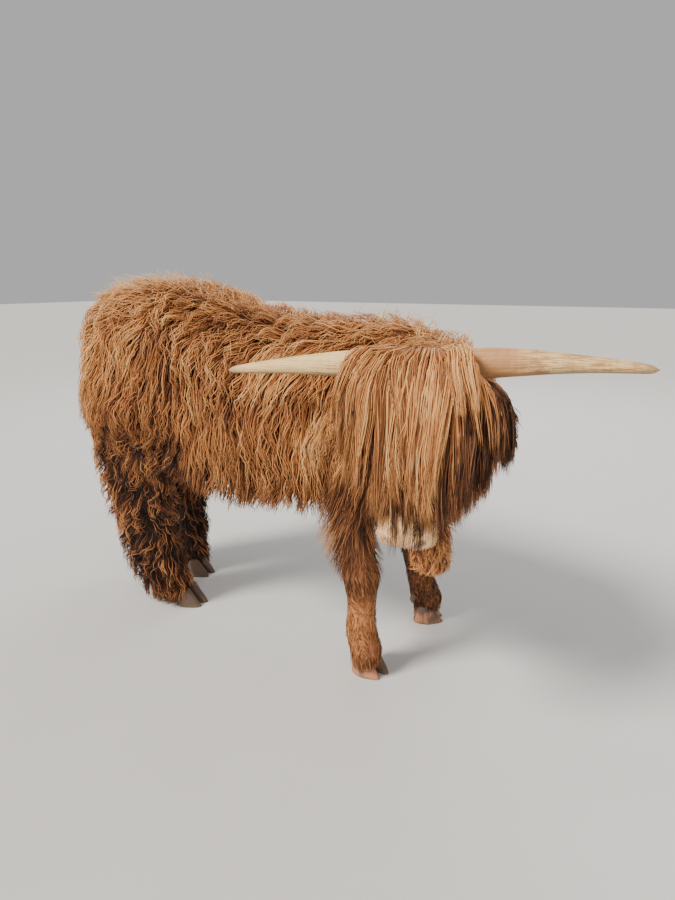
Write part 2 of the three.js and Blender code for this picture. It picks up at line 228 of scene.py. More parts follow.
def closed_tube(rings, sides, flipped):
    """Faces round the rings, and two fans: from the point after the last ring to the first ring,
    and from the point after that to the last ring."""
    step = np.arange(sides)
    after = (step + 1) % sides
    last = (rings - 1) * sides
    first_fan = np.stack([np.full(sides, rings * sides), after, step], -1)
    last_fan = np.stack([np.full(sides, rings * sides + 1), last + step, last + after], -1)
    faces = [ring_faces(rings, sides), np.vstack([first_fan, last_fan])]
    return [group[:, ::-1] for group in faces] if flipped else faces


def tree_of(points, triangles):
    """A search tree for the places of a surface."""
    return BVHTree.FromPolygons(points.tolist(), triangles.tolist())


def nearest(tree, points):
    """The place on the tree's surface nearest to each point, its face and how far off it is."""
    found = [tree.find_nearest(Vector(point)) for point in points]
    return tuple(np.array([hit[i] for hit in found]) for i in (0, 2, 3))


def add_object(name, data):
    thing = bpy.data.objects.new(name, data)
    bpy.context.scene.collection.objects.link(thing)
    return thing


def place(name, mesh, slot, material, *nodes):
    """Adds a piece that rides on the body and stands for the CAD nodes named."""
    mesh.materials.clear()
    mesh.materials.append(material)
    piece = add_object(name, mesh)
    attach(piece, "root")
    if nodes:
        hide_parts(*nodes)
    return piece


def put_values(mesh, **layers):
    """Stores one number for each vertex under each name, for the materials to read."""
    for name, values in layers.items():
        layer = mesh.attributes.new(name, "FLOAT", "POINT")
        spread = np.broadcast_to(np.asarray(values, np.float32), len(mesh.vertices))
        layer.data.foreach_set("value", np.ascontiguousarray(spread))


def remeshed(points, triangles, size):
    """One closed surface round all the shells, made of even quads of the given size."""
    holder = add_object("remesh", mesh_from("remesh", points, [triangles]))
    remesh = holder.modifiers.new("remesh", "REMESH")
    remesh.mode = "VOXEL"
    remesh.voxel_size = size
    remesh.use_smooth_shade = True
    depsgraph = bpy.context.evaluated_depsgraph_get()
    result = bpy.data.meshes.new_from_object(holder.evaluated_get(depsgraph))
    bpy.data.objects.remove(holder)
    return result


# ---- The skin: the flesh solids shrunk inwards by the depth of the coat ----

SKIN_GRAIN = 0.0095  # size of the skin's quads before the head is refined


def flesh_shells():
    """The flesh solids as one array of triangles, with the index in FLESH of each one's node."""
    points, triangles, owners = [], [], []
    start = 0
    for index, node in enumerate(FLESH):
        node_points, node_triangles = triangles_of(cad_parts[node].data)
        points.append(node_points)
        triangles.append(node_triangles + start)
        owners.append(np.full(len(node_triangles), index))
        start += len(node_points)
    return np.vstack(points), np.vstack(triangles), np.concatenate(owners)


def by_part(part, usual, own):
    """The usual values, and in the parts of the flesh that own names, the values it gives."""
    for name, value in own.items():
        usual = np.where(part == FLESH.index(name), value, usual)
    return usual


def in_fold(points):
    """1 in the fold between flank and thigh, 0 away from it."""
    height = points[:, 2]
    low_on_side = smooth_step(0.46, 0.56, height) * smooth_step(0.98, 0.80, height)
    return low_on_side * bell(points[:, 0], FLANK_FOLD, 0.045)


def in_hollow(points):
    """1 in the hollows of the back, before the hips and behind the withers, 0 elsewhere."""
    along, height = points[:, 0], points[:, 2]
    hips = bell(along, -0.17, 0.09) * bell(height, 1.03, 0.06)
    withers = bell(along, 0.13, 0.06) * bell(height, 1.055, 0.04)
    return hips + 0.8 * withers


def on_thigh(points):
    """1 on the thighs, behind the fold of the flank, 0 elsewhere."""
    behind = smooth_step(FLANK_FOLD + 0.02, FLANK_FOLD - 0.05, points[:, 0])
    return behind * smooth_step(0.90, 0.70, points[:, 2])


def coat_depth(points, owner):
    """How far the skin lies under the tips of the coat at points of the solids' surface."""
    height = points[:, 2]
    side = 0.036 + 0.016 * smooth_step(1.05, 0.85, height)
    depth = side + 0.046 * smooth_step(0.80, 0.52, height)  # the skirt along the belly
    depth = depth + 0.030 * in_fold(points) + 0.010 * in_hollow(points)
    throat = 0.060 * smooth_step(0.80, 0.50, height) + 0.025 * smooth_step(0.50, 0.42, height)
    fore = 0.030 * smooth_step(0.30, 0.55, height)
    hind = 0.022 * smooth_step(0.04, 0.12, height) + 0.026 * smooth_step(0.12, 0.34, height)
    own = {
        "neck": 0.050 + throat,
        "head": 0.002,
        "muzzle": 0.0,
        "ear_right": 0.013,
        "ear_left": 0.013,
        "tail": 0.016,
        "tail_switch": 0.030,
    }
    own.update(dict.fromkeys(LEGS[:2], fore))
    own.update(dict.fromkeys(LEGS[2:], hind))
    return by_part(owner, depth, own)


def thickness(points, triangles, normals):
    """How thick the body is straight inwards from each vertex."""
    tree = tree_of(points, triangles)
    starts = points - normals * 0.004
    rays = zip(starts, -normals)
    hits = [tree.ray_cast(Vector(start), Vector(inwards))[3] for start, inwards in rays]
    return np.array([0.02 if hit is None else hit for hit in hits])


def shrunk(points, triangles, depth, steps=14, rounds_of_evening=8):
    """Moves a surface inwards along its normals by depth, evening it out on the way."""
    pairs = neighbours_of(triangles)
    softness = np.clip(depth / 0.05, 0.02, 0.75)[:, None]
    for step in range(steps + rounds_of_evening):
        if step < steps:
            inwards = -normals_of(points, triangles)
            for _ in range(3):
                inwards = unit(averaged(inwards, pairs))
            inwards[:, 2] *= smooth_step(0.03, 0.16, points[:, 2])  # the feet keep their height
            points = points + inwards * (depth / steps)[:, None]
        points = blend(points, averaged(points, pairs), softness)
    return points


def bare_surface():
    """The body under its coat, as an even closed mesh."""
    points, triangles, owners = flesh_shells()
    shells = tree_of(points, triangles)
    swollen = points + normals_of(points, triangles) * 0.001  # so that neighbours join
    union = remeshed(swollen, triangles, SKIN_GRAIN)
    points, triangles = triangles_of(union)
    bpy.data.meshes.remove(union)
    depth = coat_depth(points, owners[nearest(shells, points)[1]])
    depth = np.minimum(depth, 0.30 * thickness(points, triangles, normals_of(points, triangles)))
    depth = averaged(depth, neighbours_of(triangles), 12)
    points = shrunk(points, triangles, depth)
    return remeshed(points, triangles, SKIN_GRAIN), shells, owners


# ---- The head's own forms ----

MUZZLE_START = 0.36  # along the head


def split_faces(mesh, wanted):
    """Splits each face in four where wanted says so of its centre in the head's axes."""
    form = bmesh.new()
    form.from_mesh(mesh)
    chosen = wanted(to_head([face.calc_center_median() for face in form.faces]))
    edges = {edge for face, keep in zip(form.faces, chosen) if keep for edge in face.edges}
    bmesh.ops.subdivide_edges(form, edges=list(edges), cuts=1, use_grid_fill=True)
    form.to_mesh(mesh)
    form.free()


def near_head(local):
    return (local[:, 0] > 0.05) & (abs(local[:, 1]) < 0.14) & (abs(local[:, 2] + 0.1) < 0.17)


def from_eye(local):
    """How far points in the head's axes are from the middle of the nearer eye."""
    mirrored = np.stack([local[:, 0], abs(local[:, 1]), local[:, 2]], -1)
    return np.linalg.norm(mirrored - EYE, axis=1)


def near_eye_or_muzzle(local):
    return ((from_eye(local) < 0.05) | (local[:, 0] > MUZZLE_START)) & near_head(local)


# The nostril is a comma: along, out, up and radius at its points, in metres.
NOSTRIL = np.array(
    [
        (0.452, 0.024, -0.070, 0.0055),
        (0.449, 0.032, -0.060, 0.0080),
        (0.442, 0.041, -0.055, 0.0085),
        (0.432, 0.049, -0.060, 0.0070),
        (0.424, 0.055, -0.070, 0.0045),
    ]
)

# Forms of the head's two sides: along, out, up, radius, and height above the skin.
MOUNDS = (
    (0.150, 0.080, -0.012, 0.028, 0.007),  # brow
    (0.165, 0.100, -0.125, 0.050, 0.007),  # cheek
    (0.250, 0.070, -0.060, 0.030, 0.004),  # cheekbone
    (0.205, 0.090, -0.085, 0.020, -0.003),  # hollow under the eye
    (0.418, 0.050, -0.132, 0.024, 0.005),  # lower lip
    (0.400, 0.066, -0.090, 0.026, 0.004),  # upper lip
    (0.350, 0.060, -0.060, 0.030, -0.005),  # narrowing above the muzzle
)
MOUTH_DEPTH = 0.005
NOSTRIL_DEPTH = 0.016
SOCKET = (0.0155, 0.020)  # how far from the eye's middle the socket's floor and its rim reach


def away_from(middle, along, out, up):
    x, y, z = middle
    return np.sqrt((along - x) ** 2 + (out - y) ** 2 + (up - z) ** 2)


def nostril_reach(along, out, up):
    """Distance to the comma's edge, below 0 inside it."""
    stretches = zip(NOSTRIL, NOSTRIL[1:])
    balls = [blend(*ends, share) for ends in stretches for share in (0, 0.34, 0.67)]
    gaps = [away_from(ball[:3], along, out, up) - ball[3] for ball in balls]
    return np.min(gaps, axis=0)


def sculpt_head(points, normals):
    """Brows, cheeks, jaw, nostrils, lips and eye sockets, as moves of the skin."""
    local = to_head(points)
    along, out, up = local[:, 0], abs(local[:, 1]), local[:, 2]
    on_head = near_head(local)
    lift = np.zeros(len(points))
    for *middle, radius, height in MOUNDS:
        lift += height * bell(away_from(middle, along, out, up), 0, radius)
    reach = nostril_reach(along, out, up)
    lift += 0.004 * bell(reach, 0.006, 0.005)  # the nostril's rim
    lift -= NOSTRIL_DEPTH * smooth_step(0.002, -0.006, reach)
    mouth = MOUTH_LEVEL - 5.5 * np.maximum(out - 0.02, 0) ** 2
    from_start = smooth_step(MUZZLE_START, MUZZLE_START + 0.02, along)
    lift -= MOUTH_DEPTH * bell(up, mouth, 0.0040) * from_start
    points = points + normals * (lift * on_head)[:, None]

    # The skin falls back behind each eyeball, and the lids bridge the gap.
    local = to_head(points)
    out = abs(local[:, 1])
    socket = on_head & (out > 0.06)
    floor, rim = SOCKET
    share = smooth_step(rim, floor, np.hypot(along - EYE[0], up - EYE[2])) * socket
    inset = blend(out, np.minimum(EYE[1] - 0.008, out), share)
    local[:, 1] = np.sign(local[:, 1]) * inset
    return np.where(socket[:, None], from_head(local), points)


def with_pads(points):
    """Draws the skin out towards the dewclaws, in a small pad under each."""
    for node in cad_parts:
        if node.startswith("dewclaw_"):
            away = centre_of(node) - points
            near = smooth_step(0.052, 0.024, np.linalg.norm(away, axis=1))
            points = points + away * (0.75 * near)[:, None]
    return points


def unwrap(mesh):
    """Gives the mesh the map named OFBake, laid out from its own shape."""
    mesh.uv_layers.new(name="OFBake")
    holder = add_object("unwrap", mesh)
    bpy.context.view_layer.objects.active = holder
    holder.select_set(True)
    bpy.ops.object.mode_set(mode="EDIT")
    bpy.ops.mesh.select_all(action="SELECT")
    bpy.ops.uv.smart_project(angle_limit=math.radians(66), island_margin=0.002)
    bpy.ops.object.mode_set(mode="OBJECT")
    bpy.data.objects.remove(holder)


# ---- Eyes and lids ----

EYE_OPENING = (0.0165, 0.0100)  # half length and half height between the lids


def eye_point(side, along, up, out):
    """A point given from the eye's centre, out to that side of the head."""
    local = np.stack([EYE[0] + along, side * (EYE[1] + out), EYE[2] + up], -1)
    return from_head(local)


def eyeball(side, rings=22, sides=36):
    """A ball with a raised cornea; gaze_x and gaze_y are places on it as seen from the front."""
    polar = np.linspace(0.0, math.pi, rings)[1:-1, None]
    turn = np.linspace(0, 2 * math.pi, sides, endpoint=False)[None]
    cornea = 0.0022 * np.exp(-((polar / 0.52) ** 4))
    radius = EYE_RADIUS - 0.0004 + cornea
    along = (radius * np.sin(polar) * np.cos(turn)).ravel()
    up = (radius * np.sin(polar) * np.sin(turn)).ravel()
    out = (radius * np.cos(polar) * np.ones_like(turn)).ravel()
    poles = np.array([[0, 0, EYE_RADIUS + 0.0018], [0, 0, -EYE_RADIUS]])
    along, up, out = (np.append(values, poles[:, i]) for i, values in enumerate((along, up, out)))
    points = eye_point(side, along, up, out)
    mesh = mesh_from("eye", points, closed_tube(rings - 2, sides, flipped=side > 0))
    put_values(mesh, gaze_x=along / EYE_RADIUS, gaze_y=up / EYE_RADIUS)
    return mesh


LID_REACH = 0.036  # from the eye's middle to the lids' rim, which is under the skin
LID_STEPS = (0, 0.04, 0.14, 0.26, 0.4, 0.55, 0.7, 0.85, 1)  # shares of the way out to the rim
LID_THICKNESS = 0.0028


def almond(sides):
    """Headings round the eye, and how far its opening reaches along each."""
    turn = np.linspace(0, 2 * math.pi, sides, endpoint=False)
    half_length, half_height = EYE_OPENING
    swell = (abs(np.cos(turn)) ** 1.5 + abs(np.sin(turn)) ** 1.5) ** (-1 / 1.5)
    edge = np.stack([np.cos(turn) * half_length, np.sin(turn) * half_height], -1) * swell[:, None]
    return unit(edge), np.linalg.norm(edge, axis=1)


def skin_height(side, along, up, skin_tree):
    """How far out of the eye's middle the skin is, and 0 where it is further in."""
    above = eye_point(side, along, up, np.full(len(along), 0.06))
    inwards = Vector(HEAD_AXES[:, 1] * -side)
    hits = [skin_tree.ray_cast(Vector(point), inwards, 0.12)[0] for point in above]
    heights = [0.0 if hit is None else abs(to_head([hit])[0, 1]) - EYE[1] for hit in hits]
    return np.maximum(heights, 0)


def eyelids(side, skin_tree, sides=64):
    """A closed band round one eye: its inner edge is the almond opening, its rim is in the skin."""
    heading, inner = almond(sides)
    last = len(LID_STEPS) - 1
    rings = []
    for number, step in enumerate(LID_STEPS):
        reach = inner + step * (LID_REACH - inner)
        along, up = (heading * reach[:, None]).T
        skin = skin_height(side, along, up, skin_tree) - 0.0015 * (number == last)
        lid = np.sqrt(np.maximum((EYE_RADIUS + LID_THICKNESS) ** 2 - reach**2, 1e-6))
        crease = 0.0016 * np.sin(2.6 * (reach - inner) / 0.0036) * (up > 0)
        height = blend(lid, skin, smooth_step(0.015, 0.034, reach))
        height = height + crease * smooth_step(1, 0.5, number / last)
        if number == 0:  # the edge lies on the eyeball
            height = np.sqrt(EYE_RADIUS**2 - reach**2) + 0.0006
        rings.append(eye_point(side, along, up, height))
    for reach, sunk in ((0.034, 0.010), (0.022, 0.012)):  # the way back, out of sight
        along, up = (heading * reach).T
        rings.append(eye_point(side, along, up, -sunk * np.ones(sides)))
    reach = inner + 0.001
    along, up = (heading * reach[:, None]).T
    rings.append(eye_point(side, along, up, np.sqrt(EYE_RADIUS**2 - reach**2) - 0.003))
    points = np.vstack(rings)
    faces = ring_faces(len(rings) + 1, sides) % len(points)
    if side < 0:
        faces = faces[:, ::-1]
    bare = np.zeros((len(rings), sides))
    bare[[0, 1, -1]] = 1  # the edges of the lids
    return points, faces, bare.ravel()


def add_lids(skin, skin_tree):
    """Joins both pairs of lids to the skin's mesh; lid is 1 on their bare edges."""
    put_values(skin, lid=0.0)
    pieces = [add_object("skin", skin)]
    for side in (-1, 1):
        points, faces, rim = eyelids(side, skin_tree)
        lids = mesh_from("lids", points, [faces])
        put_values(lids, lid=rim)
        pieces.append(add_object("lids", lids))
    with bpy.context.temp_override(active_object=pieces[0], selected_editable_objects=pieces):
        bpy.ops.object.join()
    bpy.data.objects.remove(pieces[0])


# ---- Markings, the same for the skin and the coat ----


def crest_of_neck(along):
    """How far to the left the crest of the neck is, at places along the body."""
    return np.interp(along, (WITHERS[0], POLL[0]), (WITHERS[1], POLL[1]))


def fore_leg_tones(normals, height):
    """Tones of the fore legs: light on the forearm and shin, dark on the knee; darker on the near leg's
    inner side and all over the far leg, as painted shade.
    """
    shin = 0.08 * smooth_step(0.28, 0.24, height)
    forearm = 0.12 * smooth_step(0.42, 0.56, height)
    knee = 0.15 * bell(height, 0.30, 0.024)
    # painted shade: the near leg's inner side and the whole far leg are darker
    inner = {"leg_fore_right": 0.14 * smooth_step(0.1, 0.9, normals[:, 1]), "leg_fore_left": 0.08}
    return {leg: 0.39 + shin - inner[leg] + forearm - knee for leg in LEGS[:2]}


def tone_at(points, normals, part):
    """How light the coat is: 0 dark brown, 0.5 red-brown, 1 pale gold."""
    along, height = points[:, 0], points[:, 2]
    tone = 0.57 + 0.10 * smooth_step(0.90, 1.12, height) - 0.27 * smooth_step(0.88, 0.60, height)
    rump = smooth_step(-0.40, -0.70, along)
    tone = tone + 0.05 * rump * smooth_step(0.6, 0.9, height)
    # painted light and shade: the hind legs are lighter where they face rearwards, darker in front
    behind = (0.5 - 0.5 * normals[:, 0]) * (0.3 + 0.7 * smooth_step(0.20, 0.55, height))
    hind = 0.17 + 0.25 * behind + 0.10 * smooth_step(0.45, 0.75, height)
    hind = hind + 0.08 * smooth_step(FLANK_FOLD - 0.04, FLANK_FOLD - 0.22, along)
    tone = blend(tone, hind, on_thigh(points))
    from_crest = points[:, 1] - crest_of_neck(along)
    # painted shade: the neck is darker on its left side, away from the crest
    neck = 0.50 + 0.41 * smooth_step(0.86, 1.02, height) - 0.10 * smooth_step(0.02, 0.14, from_crest)
    neck = neck + 0.13 * smooth_step(0.75, 0.60, height)
    own = {
        "neck": neck,
        "head": 0.52,
        "muzzle": 0.60,
        "ear_right": 0.52,
        # painted shade: the left ear is darker than the right
        "ear_left": 0.37,
        "tail": 0.50,
        "tail_switch": 0.46,
    }
    own.update(fore_leg_tones(normals, height))
    own.update(dict.fromkeys(LEGS[2:], hind))
    # painted shade in the fold between flank and thigh
    tone = by_part(part, tone, own) - 0.16 * in_fold(points)
    # painted shade in the hollows of the back
    tone = tone - 0.15 * in_hollow(points) * (part == FLESH.index("trunk"))
    return tone + 0.08 * Ripple(0.32, 5)(points) + 0.06 * Ripple(0.10, 6)(points)


def pale_at(points):
    """1 on the cream hair round the mouth, 0 elsewhere."""
    local = to_head(points)
    on_muzzle = smooth_step(0.375, 0.415, local[:, 0] + 0.3 * np.maximum(-0.07 - local[:, 2], 0))
    return on_muzzle * near_head(local) * (local[:, 0] < 0.52)


def bare_at(points):
    """1 on the hairless nose pad, nostrils and lip, 0 elsewhere."""
    local = to_head(points)
    along, out, up = local[:, 0], abs(local[:, 1]), local[:, 2]
    pad = smooth_step(0.004, -0.004, np.hypot(out / 1.1, (up + 0.080) / 0.68) - 0.042)
    pad = pad * smooth_step(0.425, 0.440, along)
    nostril = smooth_step(0.006, 0.000, nostril_reach(along, out, up))
    return np.maximum(pad, nostril) * near_head(local)


# ---- The finished skin ----


def add_features(skin):
    """Refines and sculpts the head, draws out the pads, adds the lids and unwraps the whole."""
    split_faces(skin, near_head)
    split_faces(skin, near_eye_or_muzzle)
    points, triangles = triangles_of(skin)
    pairs = neighbours_of(triangles)
    eased = near_head(to_head(points))[:, None] * 0.5
    for _ in range(4):
        points = blend(points, averaged(points, pairs), eased)
    points = with_pads(sculpt_head(points, normals_of(points, triangles)))
    move_points(skin, points)
    add_lids(skin, tree_of(points, triangles))
    unwrap(skin)


class Body:
    """The finished skin, with all that the coat needs to know of it."""

    def __init__(self):
        self.mesh, shells, owners = bare_surface()
        add_features(self.mesh)
        self.points, self.triangles = triangles_of(self.mesh)
        self.tree = tree_of(self.points, self.triangles)
        self.normals = normals_of(self.points, self.triangles)
        self.face_normals = unit(self.normals[self.triangles].sum(1))
        _, shell_faces, self.depth = nearest(shells, self.points)
        self.part = owners[shell_faces]
        tone = tone_at(self.points, self.normals, self.part)
        self.tone = averaged(tone, neighbours_of(self.triangles), 24)
        self.corner_uv = self.read_uv()

    def read_uv(self):
        """The unwrap's place of each corner of each triangle."""
        flat = np.empty(len(self.mesh.loops) * 2)
        self.mesh.uv_layers["OFBake"].data.foreach_get("uv", flat)
        loops = np.empty(len(self.triangles) * 3, np.int32)
        self.mesh.loop_triangles.foreach_get("loops", loops)
        return flat.reshape(-1, 2)[loops].reshape(-1, 3, 2)

    def under(self, points):
        """The nearest place on the skin under each point, and the way out of the skin there."""
        near, face, _ = nearest(self.tree, points)
        return near, self.face_normals[face]

    def roots_at(self, points):
        """The roots on the skin nearest to the points given."""
        near, face, _ = nearest(self.tree, points)
        corner = self.triangles[face, 0]
        normals, uv = self.face_normals[face], self.corner_uv[face, 0]
        return Roots(near, normals, uv, self.depth[corner], self.tone[corner])

    def rooted(self, count, share, rng):
        """Evenly spread roots, with share the part of the whole density on each triangle."""
        first, second, third = (self.points[self.triangles[:, i]] for i in range(3))
        area = np.linalg.norm(np.cross(second - first, third - first), axis=1) / 2 * share
        total = np.cumsum(area)
        picks = (np.arange(count) + rng.uniform(0, 1, count)) * total[-1] / count
        face = np.minimum(np.searchsorted(total, picks), len(total) - 1)
        weight = rng.dirichlet((1, 1, 1), count)[:, :, None]
        corners = self.triangles[face]
        return Roots(
            points=(self.points[corners] * weight).sum(1),
            normals=unit((self.normals[corners] * weight).sum(1)),
            uv=(self.corner_uv[face] * weight).sum(1),
            depth=(self.depth[corners] * weight[:, :, 0]).sum(1),
            tone=(self.tone[corners] * weight[:, :, 0]).sum(1),
        )


@dataclass
class Roots:
    """Where strands grow from the skin, and what the skin is like there."""

    points: np.ndarray
    normals: np.ndarray
    uv: np.ndarray
    depth: np.ndarray
    tone: np.ndarray


@functools.cache
def the_body():
    return Body()


# ---- Horns ----

HORN_RADIUS = 0.036
HORN_START = 0.060  # to the side of the head's middle
HORN_REACH = {"left": 0.514, "right": 0.552}
HORN_BOW = {"left": (0.012, 0.042), "right": (0.004, -0.004)}  # rise of the middle and of the tip
HORN_STAIN = {"left": (0.66, 0.24), "right": (0.40, 0.12)}  # where it starts and is full
HORN_TAPER = (  # share of the length, and of the radius
    (0, 1.06),
    (0.19, 1.04),
    (0.38, 0.88),
    (0.56, 0.68),
    (0.75, 0.49),
    (0.92, 0.33),
    (0.985, 0.24),
    (1, 0.05),
)


def horn_centreline(name, side, share):
    bow, lift = HORN_BOW[name]
    along = 0.006 + 0.024 * share**2
    out = side * (HORN_START + (HORN_REACH[name] - HORN_START) * share)
    up = -0.040 + bow * np.sin(math.pi * share) + lift * share
    return np.stack([along, out, up], -1)


def horn_girth(share):
    """The horn's radius along it, with the corners of its taper rounded off."""
    girth = np.interp(share, *zip(*HORN_TAPER))
    for _ in range(3):
        girth[1:-1] = (girth[:-2] + 2 * girth[1:-1] + girth[2:]) / 4
    return girth * HORN_RADIUS


def horn(name, rings=96, sides=32):
    """A horn along its centreline, with growth ridges by the skull and a smooth tip."""
    side = 1 if name == "left" else -1
    share = np.linspace(0, 1, rings)
    centre = horn_centreline(name, side, share)
    girth = horn_girth(share)[:, None]
    turn = np.linspace(0, 2 * math.pi, sides, endpoint=False)
    ring = np.stack([np.cos(turn), np.zeros(sides), np.sin(turn)], -1)
    flat = centre[:, None] + ring * girth[:, :, None]
    near_skull = smooth_step(0.45, 0.05, share)[:, None]
    bump = 0.0006 * Ripple(0.11, 31)(flat * [1, 0.3, 1])
    bump = bump - 0.0007 * near_skull * (0.5 + 0.5 * Ripple(0.016, 32)(flat * [0.1, 1, 0.1]))
    flat = flat + ring * (bump * girth / HORN_RADIUS)[:, :, None]
    ends = [centre[:1], centre[-1:] + [0, side * 0.003, 0]]
    points = from_head(np.vstack([flat.reshape(-1, 3), *ends]))
    mesh = mesh_from(f"horn_{name}", points, closed_tube(rings, sides, flipped=side < 0))
    along = np.append(np.repeat(share, sides), [0, 1])
    round_x, round_y = (np.append(np.tile(ring[:, i], rings), [0, 0]) for i in (0, 2))
    under = -np.stack([round_x, 0 * round_x, round_y], -1) @ HEAD_AXES.T @ [0, 0, 1]
    stained = smooth_step(*HORN_STAIN[name], along)
    put_values(mesh, along=along, round_x=round_x, round_y=round_y, under=under, stained=stained)
    put_values(mesh, worn=float(name == "left"))
    return mesh


# ---- Claws ----

CLAW_GRAIN = 0.0026  # size of the quads of a claw
SOLE = 0.004  # the flat part under a claw
# Partly painted shade: the hind claws are left all dark.
CLAW_CLEAN_AND_LIT = {  # of the fore claws; the others are all dark
    "claw_fore_right_outer": 0.9,
    "claw_fore_right_inner": 0.3,
    "claw_fore_left_inner": 0.8,
    "claw_fore_left_outer": 0.5,
}


def smooth_claw(node):
    """A claw with the solid's faces smoothed away, still flat and level under the sole."""
    points, triangles = triangles_of(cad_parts[node].data)
    middle = points.mean(0)
    fine = remeshed(middle + (points - middle) * 1.02, triangles, CLAW_GRAIN)
    points, triangles = triangles_of(fine)
    pairs = neighbours_of(triangles)
    for _ in range(5):
        points = blend(points, averaged(points, pairs), 0.6)
    low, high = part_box(node)
    points[:, 2] = np.where(points[:, 2] < low[2] + SOLE, low[2], points[:, 2])
    points = np.clip(points, np.array(low), np.array(high))
    move_points(fine, points)
    rise = (points[:, 2] - low[2]) / (high[2] - low[2])
    put_values(fine, rise=rise, clean=CLAW_CLEAN_AND_LIT.get(node, 0.0))
    return fine


# ---- The coat ----

PATCH = 0.003  # side of each strand's patch on the unwrap
ROOT_DEPTH = 0.003  # how far under the skin a strand starts
FLOOR_GAP = 0.004
COAT_TOP = CAD_BOUNDS[1][2] + 0.032  # no tip stands higher


def trousers():
    """1 on the skin of the hind legs and low on the thighs, 0 elsewhere."""
    points = the_body().points
    thigh = on_thigh(points) * smooth_step(0.74, 0.62, points[:, 2]) * on("trunk")
    return np.maximum(on("leg_hind_right", "leg_hind_left"), thigh)


def straight(points):
    return np.zeros(len(points))


@dataclass
class Fleece:
    """What one stretch of the coat is like; sizes in metres."""

    count: int  # strands, when the coat is full
    lie: Callable = None  # the way it lies, from points and ways out of the skin, if it is combed
    length: Callable = None  # of its strands, from the same
    points: int = 8  # along each strand
    width: float = 0.0048
    per_lock: int = 9  # strands
    clump: float = 0.7  # how far a lock's tips come together
    per_bundle: int = 70  # strands, in many locks
    bundle: float = 0.3  # how far a bundle's tips come together
    wave: float = 0.09
    swing: float = 0.007  # to each side, of the waves
    curl: Callable = straight  # 1 where the waves are twice as tight, from points
    rise: float = 0.8  # how steeply it leaves the skin
    stiffness: float = 0.8
    stand: float = 1.0  # times the depth of the coat
    least_stand: float = 0.006
    crest: float = 0.0  # how much higher it stands where the skin faces up
    lowest: float = 0.004  # height that the tips keep above the floor
    lean: float = 0.010  # how far the tips of a lock stray to one side
    stray: float = 0.02  # share of the strands that leave the locks
    lighter: float = 0.0  # than the skin's own tone
    contrast: float = 1.0  # between neighbouring locks and strands
    # painted shade at the roots and, partly, painted highlight at the tips
    fade: float = 0.30  # how much lighter the tips are than the roots

    def __post_init__(self):
        self.count = int(self.count * bpy.context.scene.cow_sizes.fullness)


def combed(roots, length, fleece, rng):
    """Strands that leave the skin, follow the lie of the coat, and hang free where it overhangs."""
    body = the_body()
    steps = fleece.points - 1
    step = (length / steps)[:, None]
    layer = rng.uniform(0.1, 1, len(length)) ** 0.7
    stand = np.maximum(roots.depth * fleece.stand, fleece.least_stand)[:, None]
    normals = roots.normals
    place_now = roots.points - normals * ROOT_DEPTH
    heading = unit(normals * fleece.rise + unit(across(fleece.lie(roots.points, normals), normals)))
    path, outs = [place_now], [normals]
    for number in range(1, fleece.points):
        place_now = place_now + heading * step
        near, out = body.under(place_now)
        height = dot(place_now - near, out)
        place_now = place_now + out * np.maximum(0.0015 - height, 0)
        free = smooth_step(0.15, -0.45, out[:, 2])[:, None]
        flow = unit(across(fleece.lie(near, out), out)) * (1 - free) + DOWN * free
        goal = stand + fleece.crest * np.maximum(out[:, 2:], 0) ** 2
        goal = goal * layer[:, None] * smooth_step(0, 0.4, number / steps)
        lift = np.clip((goal - height) / step, -0.8, 0.9)
        lift = np.where(lift < 0, lift * (1 - free), lift)
        heading = unit(heading * fleece.stiffness + unit(flow) + out * lift)
        path.append(place_now)
        outs.append(out)
    return np.stack(path, 1), np.stack(outs, 1), layer


def drawn_together(path, places, size, pull, rng):
    """Bends strands towards leaders, one to each so many; gives the number of each one's leader."""
    leaders = np.sort(rng.choice(len(path), max(len(path) // size, 1), replace=False))
    tree = KDTree(len(leaders))
    for index, leader in enumerate(leaders):
        tree.insert(Vector(places[leader]), index)
    tree.balance()
    group = np.array([tree.find(Vector(point))[1] for point in places])
    share = np.linspace(0, 1, path.shape[1])[None, :, None] ** 1.1
    return path + (path[leaders[group]] - path) * pull * share, group


def gathered(path, outs, places, length, layer, fleece, rng):
    """Draws the strands together in wavy locks, and those in bundles; gives each one's own shade."""
    count = len(path)
    share = np.linspace(0, 1, path.shape[1])[None, :, None]
    pull = fleece.bundle * (0.3 + 0.7 * layer)[:, None, None]  # the deep ones fill the gaps
    path, bundle = drawn_together(path, places, fleece.per_bundle, pull, rng)
    pull = fleece.clump * rng.uniform(0.75, 1.15, count) * (rng.uniform(size=count) > fleece.stray)
    pull = np.minimum(pull, 0.93)[:, None, None]
    path, lock = drawn_together(path, places, fleece.per_lock, pull, rng)
    side = unit(np.cross(unit(np.gradient(path, axis=1)), outs))
    path = path + waves_of(outs, side, fleece.curl(places), length, share, lock, fleece, rng)
    lean = rng.normal(0, fleece.lean, count)[lock] + rng.normal(0, fleece.lean, count)[bundle]
    lean = lean + rng.normal(0, 0.06, count) * np.minimum(length, 0.08)
    path = path + side * lean[:, None, None] * share**1.5
    shade = 0.7 * rng.uniform(-1, 1, count)[lock] + 0.5 * rng.uniform(-1, 1, count)[bundle]
    untidy = 0.03 * np.minimum(length, 0.10)[:, None, None] * share
    return path + rng.normal(size=(count, 1, 3)) * untidy, shade


